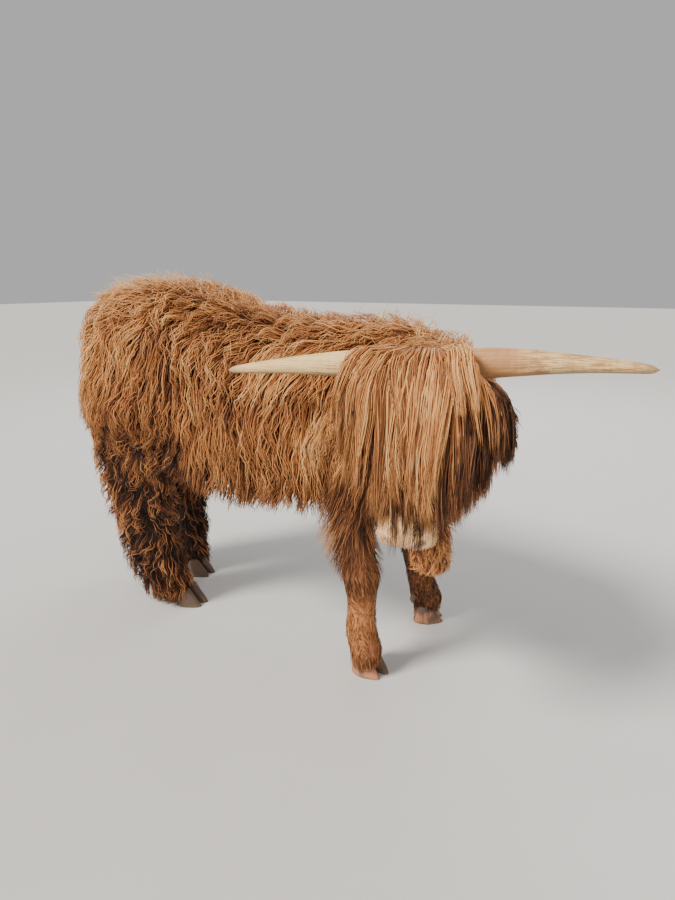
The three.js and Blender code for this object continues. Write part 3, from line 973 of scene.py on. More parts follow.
def waves_of(outs, side, curl, length, share, lock, fleece, rng):
    """How far the waves move each point of the strands, the same way for all of one lock."""
    count = len(lock)
    strength = rng.uniform(0.3, 1.5, count)[lock] * rng.uniform(0.8, 1.2, count)
    strength = (strength * fleece.swing * (1 + 0.5 * curl))[:, None, None] * share**0.8
    pitch = rng.uniform(0.75, 1.35, count)[lock] * (1 + curl) * 2 * math.pi / fleece.wave
    phase = rng.uniform(0, 2 * math.pi, count)[lock] + rng.normal(0, 0.35, count)
    turn = (pitch * length)[:, None, None] * share + phase[:, None, None]
    sideways = side * (np.sin(turn) - np.sin(phase)[:, None, None]) * strength
    return sideways + outs * np.cos(turn * 0.83) * strength * 0.6


def strands_mesh(name, path, outs, width, uv, **values):
    """Each strand as a closed tapering blade: three-cornered rings and a pointed tip."""
    count, size = path.shape[:2]
    share = np.linspace(0, 1, size)
    girth = width[:, None] * np.minimum(0.55 + 2.2 * share, 1) * (1 - share**2.6)
    tangent = unit(np.gradient(path, axis=1))
    side = unit(np.cross(tangent, outs))
    half = side * girth[:, :, None] / 2
    ridge = np.cross(side, tangent) * girth[:, :, None] * 0.42
    rings = np.stack([path - half, path + ridge, path + half], 2)
    points = np.concatenate([rings[:, :-1].reshape(count, -1, 3), path[:, -1:]], 1)
    stride = points.shape[1]
    start = (np.arange(count) * stride)[:, None, None]
    quads = ring_faces(size - 1, 3)[None] + start
    tip = stride - 1
    first, second, third = range(stride - 4, tip)  # of the last ring
    ends = np.array([(first, second, tip), (second, third, tip), (third, first, tip), (0, 2, 1)])
    faces = [quads.reshape(-1, 4), (ends[None] + start).reshape(-1, 3)]
    mesh = mesh_from(name, points.reshape(-1, 3), faces)
    along = np.append(np.repeat(share[:-1], 3), 1.0)
    sideways = np.append(np.tile([0.0, 0.5, 1.0], size - 1), 0.5)
    patch = np.stack([sideways - 0.5, along - 0.5], -1) * PATCH
    place_on_map = (uv[:, None] + patch[None]).reshape(-1, 2)
    corners = np.concatenate([group.ravel() for group in faces])
    layer = mesh.uv_layers.new(name="OFBake")
    layer.data.foreach_set("uv", place_on_map[corners].astype(np.float32).ravel())
    layers = {key: np.repeat(value, stride) for key, value in values.items()}
    put_values(mesh, along=np.tile(along, count), sideways=np.tile(sideways, count), **layers)
    return mesh


def dress(name, slot, roots, path, outs, lock, layer, fleece, rng):
    """Makes one piece of the coat from its finished strands, the deep ones broader and darker as painted
    shade.
    """
    count = len(path)
    mesh = strands_mesh(
        name,
        path,
        outs,
        fleece.width * rng.uniform(0.7, 1.2, count) * (1.45 - 0.55 * layer),
        roots.uv,
        # painted shade: the deeper a strand lies in the coat, the darker its tone
        tone=roots.tone + fleece.lighter + 0.30 * (layer - 0.72),
        pale=pale_at(roots.points),
        fade=np.full(count, fleece.fade),
        lock=lock * fleece.contrast,
        tuft=rng.uniform(-1, 1, count) * fleece.contrast,
    )
    return place(name, mesh, slot, coat_material())


def grow_coat(name, slot, share, fleece, seed):
    """Grows one piece of the coat from the skin, its density on each vertex in proportion to share."""
    rng = np.random.default_rng(seed)
    body = the_body()
    roots = body.rooted(fleece.count, share[body.triangles].mean(1), rng)
    length = fleece.length(roots.points, roots.normals) * rng.uniform(0.8, 1.15, fleece.count)
    drop = roots.points[:, 2] - fleece.lowest * rng.uniform(0.93, 1.07, fleece.count)
    length = np.minimum(length, np.maximum(drop, 0.025))
    path, outs, layer = combed(roots, length, fleece, rng)
    path, lock = gathered(path, outs, roots.points, length, layer, fleece, rng)
    path[:, :, 2] = np.clip(path[:, :, 2], FLOOR_GAP, COAT_TOP)
    return dress(name, slot, roots, path, outs, lock, layer, fleece, rng)


def clear_of_eyes(points):
    """0 on the lids and in the sockets behind them, 1 elsewhere."""
    return smooth_step(0.017, 0.023, from_eye(to_head(points)))


def on(*nodes):
    """1 on the skin that stands for the named solids, 0 elsewhere."""
    return np.isin(the_body().part, [FLESH.index(node) for node in nodes]).astype(float)


SWAY = [Ripple(0.30, 11), Ripple(0.30, 12), Ripple(0.09, 13), Ripple(0.09, 14)]


def swayed(points, broad, fine):
    """A gentle wandering of the lie of the coat."""
    across_body = broad * SWAY[0](points) + fine * SWAY[2](points)
    upwards = broad * SWAY[1](points) * 0.5 + fine * SWAY[3](points)
    return np.stack([across_body, 0.5 * across_body, upwards], -1)


def trunk_lie(points, out):
    """Down the sides; on the back, over to the nearer side and rearwards."""
    top = np.maximum(out[:, 2:], 0)
    to_side = np.tanh((points[:, 1:2] - SPINE) / 0.10) * np.array([0.0, 1.0, 0.0])
    rump = smooth_step(-0.35, -0.75, points[:, :1])
    back = REAR * (0.08 + 0.18 * rump + 0.70 * top)
    curl = trunk_curl(points)
    return DOWN + back + to_side * top * 0.9 + swayed(points, 0.26 + 0.3 * curl, 0.22 + 0.75 * curl)


def trunk_curl(points):
    """1 on the curly thighs, less on the tufted back, 0 on the hanging skirt."""
    on_back = smooth_step(0.96, 1.06, points[:, 2]) * smooth_step(0.20, -0.10, points[:, 0])
    return np.maximum(on_thigh(points), 0.40 * on_back)


def neck_lie(points, out):
    """From the crest down both sides, a little rearwards; along the crest towards the withers."""
    top = np.maximum(out[:, 2:], 0)
    from_crest = points[:, 1] - crest_of_neck(points[:, 0])
    to_side = np.tanh(from_crest / 0.08)[:, None] * np.array([0.0, 1.0, 0.0])
    rearwards = unit(WITHERS - POLL) * (0.25 + 0.9 * top)
    return DOWN + rearwards + to_side * top * 0.8 + swayed(points, 0.2, 0.12)


def on_fetlock(points, out):
    """1 behind the pastern and the fetlock, where the hair is long, 0 elsewhere."""
    return smooth_step(-0.1, -0.7, out[:, 0]) * smooth_step(0.19, 0.14, points[:, 2])


def on_forearm(points, out):
    """1 at the back of the forearm, where the hair is long and stands off, 0 elsewhere."""
    return smooth_step(0.2, -0.6, out[:, 0]) * smooth_step(0.34, 0.46, points[:, 2])


def leg_lie(points, out):
    """Down, and out over the hooves and the dewclaws."""
    by_hoof = smooth_step(0.13, 0.07, points[:, 2:])
    spread = np.maximum(0.5 * by_hoof, 0.6 * on_fetlock(points, out)[:, None])
    return DOWN + out * [1, 1, 0] * spread + swayed(points, 0.08, 0.04)


def fore_lie(points, out):
    """As on any leg, and back behind the forearm."""
    return leg_lie(points, out) + 0.38 * REAR * on_forearm(points, out)[:, None]


def curly_lie(points, out):
    """Every way but mostly down, and forwards over the hooves."""
    by_hoof = smooth_step(0.16, 0.08, points[:, 2:])
    return DOWN + REAR * (0.15 - 0.9 * by_hoof) + swayed(points, 0.45, 0.75) * (1 - 0.7 * by_hoof)


def face_lie(points, out):
    """Down the nose in front, down and back on the cheeks and jaw."""
    to_muzzle = HEAD_AXES[:, 0]
    front = smooth_step(-0.08, -0.02, to_head(points)[:, 2])[:, None]
    return blend(DOWN + REAR * 0.1, to_muzzle, front) + swayed(points, 0.05, 0.10)


def ear_lie(points, out):
    outwards = np.sign(to_head(points)[:, 1:2]) * HEAD_AXES[:, 1]
    return DOWN * 0.8 + outwards * 0.6 + swayed(points, 0.0, 0.10)


def trunk_length(points, out):
    length = 0.200 - 0.085 * smooth_step(0.94, 1.08, points[:, 2])
    length = length - 0.085 * smooth_step(-0.3, -0.8, out[:, 2])
    return blend(length, 0.085, on_thigh(points))


def neck_length(points, out):
    height = points[:, 2]
    return 0.160 + 0.040 * smooth_step(0.85, 0.98, height) - 0.095 * smooth_step(0.76, 0.50, height)


def fore_length(points, out):
    height = points[:, 2]
    length = 0.022 + 0.038 * smooth_step(0.28, 0.36, height) + 0.050 * smooth_step(0.40, 0.62, height)
    length = length + 0.022 * smooth_step(0.13, 0.08, height) + 0.025 * on_forearm(points, out)
    return np.maximum(length, 0.060 * on_fetlock(points, out))


def hind_length(points, out):
    height = points[:, 2]
    return 0.075 + 0.025 * smooth_step(0.50, 0.85, height) + 0.025 * smooth_step(0.18, 0.10, height)


def face_length(points, out):
    local = to_head(points)
    on_jaw = smooth_step(-0.08, -0.16, local[:, 2]) * smooth_step(0.36, 0.28, local[:, 0])
    length = 0.016 + 0.035 * on_jaw + 0.05 * smooth_step(0.09, 0.02, local[:, 0])
    return np.where(local[:, 0] > 0.37, 0.008, length)


def tail_length(points, out):
    return 0.09 + 0.13 * smooth_step(0.80, 0.62, points[:, 2])


def even_length(length):
    return lambda points, out: np.full(len(points), length)


# ---- The forelock: a curtain that hangs from the poll over the whole face ----

# Stations down the face: along the head, middle's height, half width, rise, roundness.
CURTAIN = np.array(
    [
        (-0.045, -0.040, 0.200, 0.092, 0.60),
        (0.010, -0.040, 0.218, 0.112, 0.60),
        (0.080, -0.042, 0.224, 0.108, 0.72),
        (0.160, -0.046, 0.228, 0.098, 0.85),
        (0.250, -0.052, 0.228, 0.086, 0.95),
        (0.330, -0.056, 0.226, 0.066, 1.00),
        (0.470, -0.062, 0.215, 0.040, 1.00),
    ]
)


def curtain_point(along, turn, depth):
    """A place on the curtain: turn is 0 over the nose and a quarter circle at each side."""
    middle, half, rise, roundness = (
        np.interp(along, CURTAIN[:, 0], CURTAIN[:, column]) for column in (1, 2, 3, 4)
    )
    narrowing = smooth_step(0.14, -0.04, along) * smooth_step(0.2, 0.9, np.sin(turn))
    half, rise = half * (1 - 0.20 * narrowing), rise * (1 - 0.10 * narrowing)
    over, beside = np.cos(turn), np.sin(turn)
    rise = np.where(over > 0, rise, 1.6 * rise) - depth
    out = (half - depth) * np.sign(beside) * abs(beside) ** roundness
    up = middle + rise * np.sign(over) * abs(over) ** roundness
    return from_head(np.stack([along, out, up], -1))


def kept_outside(path, gap):
    """Moves the points that are in the skin, or nearer to it than gap, out of it."""
    near, out = the_body().under(path.reshape(-1, 3))
    height = dot(path.reshape(-1, 3) - near, out)
    lifted = out * np.clip(gap - height, 0, 0.05)
    return path + lifted.reshape(path.shape)


def ends_of(side, beside, dark):
    """How far down the face strands reach: furthest in the dark layer and on the right."""
    long_end = 0.475 + 0.022 * side - 0.250 * beside**2
    short_end = 0.485 - 0.24 * smooth_step(0.20, 0.55, beside) - 0.03 * beside
    return np.where(dark | (side < 0), long_end, short_end)


def hanging(side, final_turn, along, share, layer):
    """Each strand's path over the face, and the way out of the curtain along it."""
    spread = 0.19 + 0.04 * side  # along the head, where the locks hang straight
    turn = final_turn[:, None] * blend(0.42, 1.0, smooth_step(-0.06, spread, along))
    turn = turn + 1.1 * np.sin(turn) * np.maximum(along - 0.18, 0)  # the sides sink back and down
    deep = smooth_step(-0.10, 0.25, share) * (1 - 0.75 * smooth_step(0.36, 0.45, along))
    depth = 0.002 + 0.058 * (1 - layer[:, None]) * deep
    path = curtain_point(along, side * turn, depth)
    return path, unit(path - curtain_point(along, 0 * turn, depth + 0.10))


def curtain(side, fleece, seed):
    """One half of the forelock, side -1 the right and 1 the left: long locks over a layer darkened as
    painted shade.
    """
    rng = np.random.default_rng(seed)
    count = fleece.count
    turn = rng.uniform(-0.08, 1.72, count)
    beside = np.sin(np.clip(turn, 0, math.pi / 2))
    # painted shade: the left edge is dark all through, and the left half has more of the dark layer
    shaded = smooth_step(0.82, 1.0, beside) * (side > 0)  # the left edge is dark all through
    under = smooth_step(0.10, 0.50, beside) * (side > 0)  # more of the dark layer on the left
    dark = rng.uniform(0, 1, count) < blend(0.34 + 0.08 * side + 0.20 * under, 1.0, shaded)
    layer = rng.uniform(0.6, 1, count) - 0.4 * dark * (1 - shaded)
    start = rng.uniform(-0.045, 0.015, count) + 0.085 * smooth_step(0.80, 0.95, beside) * (side > 0)
    ragged = 0.38 + under * np.where(dark, -0.18, 0.17)
    reach = ends_of(side, beside, dark) - start
    reach = np.maximum(reach * (1 - ragged * rng.uniform(0, 1, count) ** 1.8), 0.10)
    share = np.linspace(0, 1, fleece.points)[None]
    path, outs = hanging(side, turn, start[:, None] + share * reach[:, None], share, layer)

    local = to_head(path[:, 0]) * [1, 0.60, 0] + [-0.01, 0, 0.02]
    roots = the_body().roots_at(from_head(local))
    # painted shade: the dark layer and the left edge get darker tones
    roots.tone = blend(0.62, 0.29, dark) - 0.10 * shaded + 0.06 * Ripple(0.10, 21)(path[:, 5])
    rising = (1 - smooth_step(0, 0.25, share))[:, :, None]
    path = blend(path, (roots.points - ROOT_DEPTH * roots.normals)[:, None], rising)
    path[:, 5:] = kept_outside(path[:, 5:], 0.004)
    return path, outs, roots, reach, layer, rng


# ---- Materials ----


class Value:
    """A number that varies over a surface; Python's operators on it add Math nodes."""

    def __init__(self, paint, socket):
        self.paint = paint
        self.socket = socket

    def math(self, operation, *others, swapped=False):
        values = [*others, self] if swapped else [self, *others]
        return self.paint.node("ShaderNodeMath", dict(enumerate(values)), operation=operation)

    def __add__(self, other):
        return self.math("ADD", other)

    def __sub__(self, other):
        return self.math("SUBTRACT", other)

    def __rsub__(self, other):
        return self.math("SUBTRACT", other, swapped=True)

    def __mul__(self, other):
        return self.math("MULTIPLY", other)

    def __truediv__(self, other):
        return self.math("DIVIDE", other)

    def __rtruediv__(self, other):
        return self.math("DIVIDE", other, swapped=True)

    def __pow__(self, other):
        return self.math("POWER", other)

    __radd__ = __add__
    __rmul__ = __mul__


class Paint:
    """One material's nodes, round its Principled shader."""

    def __init__(self, name):
        self.material = bpy.data.materials.new(name)
        self.material.use_nodes = True
        self.tree = self.material.node_tree
        self.shader = self.tree.nodes["Principled BSDF"]
        self.colours = bpy.context.scene.cow_colours

    def node(self, kind, inputs=None, output=0, stops=None, **settings):
        """Adds a node, sets it, feeds its sockets by name or number, and wraps one output."""
        node = self.tree.nodes.new(kind)
        for name, value in settings.items():
            setattr(node, name, value)
        if stops:
            self.set_stops(node.color_ramp, stops)
        for name, value in (inputs or {}).items():
            self.feed(node.inputs[name], value)
        return Value(self, node.outputs[output])

    def set_stops(self, ramp, stops):
        while len(ramp.elements) < len(stops):
            ramp.elements.new(1.0)
        for element, (position, colour) in zip(ramp.elements, stops):
            element.position = position
            element.color = (*colour, 1.0)

    def feed(self, socket, value):
        if isinstance(value, Value):
            self.tree.links.new(value.socket, socket)
        elif socket.type == "RGBA" and len(value) == 3:
            socket.default_value = (*value, 1.0)
        else:
            socket.default_value = value

    def read(self, name):
        """The number stored on the mesh under that name."""
        return self.node("ShaderNodeAttribute", output="Fac", attribute_name=name)

    def place(self):
        return self.node("ShaderNodeTexCoord", output="Object")

    def stretched(self, vector, factors):
        return self.node("ShaderNodeVectorMath", {0: vector, 1: factors}, operation="MULTIPLY")

    def joined(self, *numbers):
        return self.node("ShaderNodeCombineXYZ", dict(enumerate(numbers)))

    def noise(self, vector, scale, detail=3.0):
        """Noise about 0, mostly within a quarter either way."""
        inputs = {"Vector": vector, "Scale": scale, "Detail": detail}
        return self.node("ShaderNodeTexNoise", inputs) - 0.5

    def ramp(self, value, stops):
        return self.node("ShaderNodeValToRGB", {"Fac": value}, stops=stops)

    def step(self, value, low, high):
        """0 below low and 1 above high, smooth between them."""
        inputs = {"Value": value, "From Min": low, "From Max": high}
        return self.node("ShaderNodeMapRange", inputs, interpolation_type="SMOOTHSTEP")

    def mix(self, factor, first, second, blend_type="MIX"):
        inputs = {0: factor, 6: first, 7: second}
        return self.node("ShaderNodeMix", inputs, 2, data_type="RGBA", blend_type=blend_type)

    def bump(self, height, distance, strength=0.5):
        inputs = {"Height": height, "Distance": distance, "Strength": strength}
        return self.node("ShaderNodeBump", inputs)

    def finish(self, **sockets):
        """Sets the shader's sockets, with spaces in their names written as underscores."""
        for name, value in sockets.items():
            self.feed(self.shader.inputs[name.replace("_", " ")], value)
        return self.material


def hair_colour(paint, shade):
    """The coat's colour at a shade from 0, the darkest, to 1; cream where the hair is pale."""
    colours = paint.colours
    stops = [
        (0.05, colours.coat_shadow),
        (0.32, colours.coat_brown),
        (0.52, colours.coat_red),
        (0.72, colours.coat_gold),
        (0.96, colours.coat_light),
    ]
    return paint.mix(paint.read("pale") * 0.92, paint.ramp(shade, stops), colours.cream)


@functools.cache
def coat_material():
    """Long hair: each strand darker at its root as painted shade, lighter at its tip partly as painted
    highlight, and streaked along its length.
    """
    paint = Paint("coat")
    along, tuft, lock = (paint.read(name) for name in ("along", "tuft", "lock"))
    streak_place = paint.joined(tuft * 31.0 + paint.read("sideways") * 3.2, along * 1.3, lock * 17.0)
    streak = paint.noise(streak_place, 1.0, 2.0)
    cloud = paint.noise(paint.place(), 5.0)
    # painted shade and highlight: the fade term darkens one end of each strand and lightens the other
    shade = paint.read("tone") + lock * 0.10 + tuft * 0.12 + (along - 0.5) * paint.read("fade")
    shade = shade + cloud * 0.26 + streak * 0.28
    colour = hair_colour(paint, shade)
    return paint.finish(
        Base_Color=colour,
        Roughness=0.56 + streak * 0.35,
        Specular_IOR_Level=0.24,
        Sheen_Weight=0.04,
        Sheen_Roughness=0.45,
        Normal=paint.bump(streak, 0.0012, 0.6),
    )


NOSE_SPOTS = (0.40, 0.20, 0.14)
LID_EDGE = (0.035, 0.020, 0.015)


@functools.cache
def skin_material():
    """The hide: short fur in fine streaks, darker under the long coat as painted shade, bare on the nose and
    lids.
    """
    paint = Paint("hide")
    place_on = paint.place()
    fur = paint.noise(paint.stretched(place_on, (1.0, 1.0, 0.22)), 420.0, 4.0)
    tufts = paint.noise(paint.stretched(place_on, (1.0, 1.0, 0.35)), 90.0, 2.0)
    cloud = paint.noise(place_on, 6.0)
    cover, bare, lid = (paint.read(name) for name in ("cover", "bare", "lid"))
    # painted shade: the hide is darker where the long coat covers it
    shade = paint.read("tone") - cover * 0.30 + fur * 0.5 + tufts * 0.35 + cloud * 0.2
    colour = hair_colour(paint, shade)
    cells = paint.node("ShaderNodeTexVoronoi", {"Vector": place_on, "Scale": 330.0})
    nose = paint.mix(paint.step(cloud + cells * 0.4, -0.2, 0.5), paint.colours.nose, NOSE_SPOTS)
    colour = paint.mix(bare, colour, nose)
    colour = paint.mix(lid * 0.85, colour, LID_EDGE)
    height = (fur + tufts) * (1 - bare) + (1 - cells) * bare * 0.5
    return paint.finish(
        Base_Color=colour,
        Roughness=0.82 - bare * 0.46 - lid * 0.35,
        Specular_IOR_Level=0.4,
        Normal=paint.bump(height, 0.0022, 0.7),
    )


# Partly stain and partly painted shade, on the faces of the horns that look down.
HORN_UNDERSIDE_STAIN_AND_SHADE = (0.12, 0.075, 0.045)
HORN_TIP = (0.20, 0.15, 0.10)


@functools.cache
def horn_material():
    """Cream horn with grey-brown streaks and cracks along it, growth rings and a red-brown root."""
    paint = Paint("horn")
    along, round_x, round_y = (paint.read(name) for name in ("along", "round_x", "round_y"))
    stained, under, worn = (paint.read(name) for name in ("stained", "under", "worn"))

    def grain(length, girth, scale, detail):
        where = paint.joined(along * length, round_x * girth, round_y * girth)
        return paint.noise(where, scale, detail)

    fibre = grain(2.2, 5.0, 2.2, 6.0)
    fine = grain(5.0, 26.0, 2.0, 3.0)
    rings = grain(60.0, 0.6, 1.0, 3.0)
    patches = grain(9.0, 1.6, 1.6, 5.0)
    streaks = paint.step(fibre * 1.3 + fine * 0.9 + rings * 0.3 + worn * 0.08, 0.04, 0.20)
    patchy = paint.step(patches + fine * 0.4, -0.06, 0.10) * (0.12 + worn * 0.60) + worn * 0.15
    # painted shade and stain: the horn is darker where it faces down
    stain_and_shade_below = paint.step(under + fibre * 0.6, 0.50, 0.95)
    cracks = paint.step(fine + fibre * 0.7 + rings * 0.2, 0.085, 0.15) * (0.15 + worn * 0.60)
    stain = paint.step(stained + rings * 0.25 + fibre * 1.1, 0.30, 1.05)
    tip = paint.step(along + fibre * 0.1, 0.90, 1.0)
    layers = (
        (streaks * 0.70, paint.colours.horn_streak),
        (patchy, paint.colours.horn_worn),
        (stain_and_shade_below * 0.75, HORN_UNDERSIDE_STAIN_AND_SHADE),
        (cracks, paint.colours.horn_crack),
        (stain * 0.85, paint.colours.horn_root),
        (tip * 0.5, HORN_TIP),
    )
    colour = paint.colours.horn
    for share, over in layers:
        colour = paint.mix(share, colour, over)
    return paint.finish(
        Base_Color=colour,
        Roughness=0.46 + fine * 0.5 + stained * 0.15,
        Specular_IOR_Level=0.45,
        Normal=paint.bump(rings * (0.25 + stained) + fine * 0.5 + fibre * 0.4, 0.0024, 0.55),
    )


DUST = (0.20, 0.145, 0.10)


@functools.cache
def claw_material():
    """Claw horn: brown with pinkish patches, growth rings level with the coronet, dusty below."""
    paint = Paint("claw")
    place_on = paint.place()
    rise = paint.read("rise")
    rings = paint.noise(paint.stretched(place_on, (0.05, 0.05, 1.0)), 260.0, 2.0)
    fibre = paint.noise(paint.stretched(place_on, (1.0, 1.0, 0.06)), 300.0, 3.0)
    patches = paint.noise(place_on, 28.0, 3.0)
    # painted shade in part: the hind claws come out darker than the fore claws
    blotch = paint.step(patches + fibre * 0.4 + paint.read("clean") * 0.4 - rise * 0.25, 0.12, 0.40)
    colour = paint.mix(blotch, paint.colours.claw, paint.colours.claw_light)
    dust = paint.step(rise + patches, 0.28, 0.02)
    colour = paint.mix(dust * 0.5, colour, DUST)
    return paint.finish(
        Base_Color=colour,
        Roughness=0.48 + rings * 0.3 + dust * 0.3,
        Normal=paint.bump(rings + fibre * 0.6, 0.0012, 0.6),
    )


IRIS_RAYS = (0.10, 0.045, 0.018)
EYE_WHITE = (0.48, 0.38, 0.30)
EYE_VEINS = (0.32, 0.16, 0.11)
PUPIL = (0.004, 0.003, 0.003)


@functools.cache
def eye_material():
    """A dark brown iris with a wide pupil, and a little brownish white at the corners."""
    paint = Paint("eye")
    gaze_x, gaze_y = paint.read("gaze_x"), paint.read("gaze_y")
    reach = (gaze_x * gaze_x + gaze_y * gaze_y) ** 0.5
    pupil = ((gaze_x / 0.36) ** 2.0 + (gaze_y / 0.19) ** 2.0) ** 0.5
    away = reach + 0.05
    rays = paint.noise(paint.joined(gaze_x / away, gaze_y / away, reach * 0.6), 7.0)
    iris = paint.mix(paint.step(rays, -0.2, 0.25), paint.colours.iris, IRIS_RAYS)
    veins = paint.step(paint.noise(paint.place(), 300.0), 0.0, 0.3)
    white = paint.mix(veins, EYE_WHITE, EYE_VEINS)
    colour = paint.mix(paint.step(reach, 0.62, 0.70), iris, white)
    colour = paint.mix(paint.step(pupil, 1.06, 0.94), colour, PUPIL)
    return paint.finish(Base_Color=colour, Roughness=0.06, Specular_IOR_Level=0.6, Coat_Weight=0.6)


@functools.cache
def floor_material():
    paint = Paint("floor")
    grain = paint.noise(paint.place(), 3.0, 4.0)
    light = paint.colours.floor
    dark = tuple(0.93 * channel for channel in light)
    return paint.finish(Base_Color=paint.mix(grain + 0.5, light, dark), Roughness=0.85 + grain * 0.1)


# ---- What a user can change ----


def colour_property(name, description, default):
    return bpy.props.FloatVectorProperty(
        name=name, description=description, default=default, subtype="COLOR", size=3, min=0, max=1
    )


def length_property(name, description, default):
    return bpy.props.FloatProperty(
        name=name, description=description, default=default, unit="LENGTH", min=0.0001, precision=4
    )


def angle_property(name, description, default):
    return bpy.props.FloatProperty(
        name=name, description=description, default=default, subtype="ANGLE"
    )


class CowSizes(bpy.types.PropertyGroup):
    """Sizes of the coat and places of the stage."""

    strand_width: length_property("Strand", "Width of a strand on the trunk", 0.0048)
    forelock_width: length_property("Forelock strand", "Width of a strand of the forelock", 0.0034)
    short_width: length_property("Short strand", "Width of a strand on the face and feet", 0.0026)
    fullness: bpy.props.FloatProperty(
        name="Fullness",
        description="Strands, as a share of the full number",
        default=1.0,
        min=0.05,
        max=1.0,
    )
    floor_size: length_property("Floor", "Side of the square floor", 60.0)
    lens: bpy.props.FloatProperty(
        name="Lens",
        description="Focal length of the camera in millimetres",
        default=27.04,
        min=10,
        max=200,
    )
    camera_place: bpy.props.FloatVectorProperty(
        name="Camera",
        description="Place of the camera",
        default=(1.173, -1.754, 1.200),
        subtype="TRANSLATION",
    )
    camera_pitch: angle_property("Pitch", "How far down the camera looks", math.radians(14.2))
    camera_heading: angle_property(
        "Heading", "Turn of the view to the left of straight ahead", math.atan2(0.505, 0.863)
    )


class CowColours(bpy.types.PropertyGroup):
    """Colours of the coat and the horny parts."""

    coat_shadow: colour_property("Coat shadow", "The darkest hair, between the locks", (0.018, 0.006, 0.003))
    coat_brown: colour_property("Coat brown", "Brown hair of the hind legs", (0.120, 0.042, 0.015))
    coat_red: colour_property("Coat red", "Red-brown hair of the flanks", (0.450, 0.165, 0.056))
    coat_gold: colour_property("Coat gold", "Golden hair of the back and forelock", (0.760, 0.345, 0.105))
    coat_light: colour_property("Coat light", "Bleached tips", (0.930, 0.570, 0.250))
    cream: colour_property("Cream", "Hair round the mouth", (1.000, 0.650, 0.340))
    nose: colour_property("Nose", "Bare skin of the nose", (0.740, 0.430, 0.290))
    horn: colour_property("Horn", "Clean horn", (1.000, 0.680, 0.290))
    horn_streak: colour_property("Horn streak", "Weathered streaks of the horns", (0.330, 0.200, 0.100))
    horn_crack: colour_property("Horn crack", "Fine cracks along the horns", (0.090, 0.050, 0.030))
    horn_worn: colour_property("Worn horn", "Stained patches of the horns", (0.500, 0.240, 0.085))
    horn_root: colour_property("Horn root", "The horns by the skull", (0.520, 0.230, 0.090))
    claw: colour_property("Claw", "Dark claw horn", (0.120, 0.070, 0.045))
    claw_light: colour_property("Claw light", "Pinkish claw horn", (0.520, 0.215, 0.100))
    iris: colour_property("Iris", "Dark part of the iris", (0.030, 0.012, 0.006))
    floor: colour_property("Floor", "The floor under the cow", (0.720, 0.700, 0.670))


# ---- One operator for each piece or group of like pieces ----


class CowOperator:
    """What all the operators share: they do their work in make, and are done."""

    bl_options = {"REGISTER", "UNDO"}

    def execute(self, context):
        self.make(context.scene.cow_sizes)
        return {"FINISHED"}


class COW_OT_skin(CowOperator, bpy.types.Operator):
    """One skin for the whole body, with the lids and the bare nose"""

    bl_idname = "cow.skin"
    bl_label = "Skin"

    def make(self, sizes):
        body = the_body()
        points = body.points
        put_values(
            body.mesh,
            tone=body.tone,
            pale=pale_at(points),
            bare=bare_at(points),
            cover=smooth_step(0.008, 0.030, body.depth),
        )
        place("skin", body.mesh, "coat", skin_material(), *FLESH)


class COW_OT_eyes(CowOperator, bpy.types.Operator):
    """Eyeballs with a cornea, set in the lids"""

    bl_idname = "cow.eyes"
    bl_label = "Eyes"

    def make(self, sizes):
        place("eyeball_left", eyeball(1), "eye", eye_material(), "eye_left")
        place("eyeball_right", eyeball(-1), "eye", eye_material(), "eye_right")


class COW_OT_horns(CowOperator, bpy.types.Operator):
    """The two horns"""

    bl_idname = "cow.horns"
    bl_label = "Horns"

    def make(self, sizes):
        for name in HORN_REACH:
            place(f"weathered_horn_{name}", horn(name), "horn", horn_material(), f"horn_{name}")


class COW_OT_hooves(CowOperator, bpy.types.Operator):
    """Claws and dewclaws"""

    bl_idname = "cow.hooves"
    bl_label = "Hooves"

    def make(self, sizes):
        nodes = [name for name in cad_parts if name.startswith(("claw_", "dewclaw_"))]
        for node in sorted(nodes):
            place(f"smooth_{node}", smooth_claw(node), "claw_horn", claw_material(), node)


class COW_OT_trunk_coat(CowOperator, bpy.types.Operator):
    """Long wavy locks over the back, flanks and belly, in four pieces"""

    bl_idname = "cow.trunk_coat"
    bl_label = "Trunk coat"

    def make(self, sizes):
        points = the_body().points
        low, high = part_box("trunk")
        fore = smooth_step(-0.12, 0.12, points[:, 0] - (low[0] + high[0]) / 2)
        left = smooth_step(-0.10, 0.10, points[:, 1] - SPINE)
        under = smooth_step(-0.5, -0.9, the_body().normals[:, 2])
        trunk = on("trunk") * (1 - 0.6 * under) * (1 - trousers())
        quarters = {
            "coat_rear_right": (1 - fore) * (1 - left),
            "coat_front_right": fore * (1 - left),
            "coat_rear_left": (1 - fore) * left,
            "coat_front_left": fore * left,
        }
        for seed, (name, share) in enumerate(quarters.items(), 100):
            fleece = Fleece(
                count=3500, lie=trunk_lie, length=trunk_length, width=sizes.strand_width,
                clump=0.66, swing=0.008, curl=trunk_curl, lowest=0.49, lean=0.013, stray=0.10,
                contrast=1.35, crest=0.030 if "front" in name else 0.026,
            )
            grow_coat(name, "coat", trunk * share, fleece, seed)


class COW_OT_neck_coat(CowOperator, bpy.types.Operator):
    """The mane, throat and brisket"""

    bl_idname = "cow.neck_coat"
    bl_label = "Neck coat"

    def make(self, sizes):
        fleece = Fleece(
            count=3300, lie=neck_lie, length=neck_length, width=sizes.strand_width, wave=0.13,
            swing=0.006, lean=0.012, stray=0.10, rise=0.5, stand=0.8, crest=0.040, lowest=0.395,
            contrast=1.2,
        )
        share = on("neck") * clear_of_eyes(the_body().points)
        grow_coat("coat_neck", "coat", share, fleece, 110)


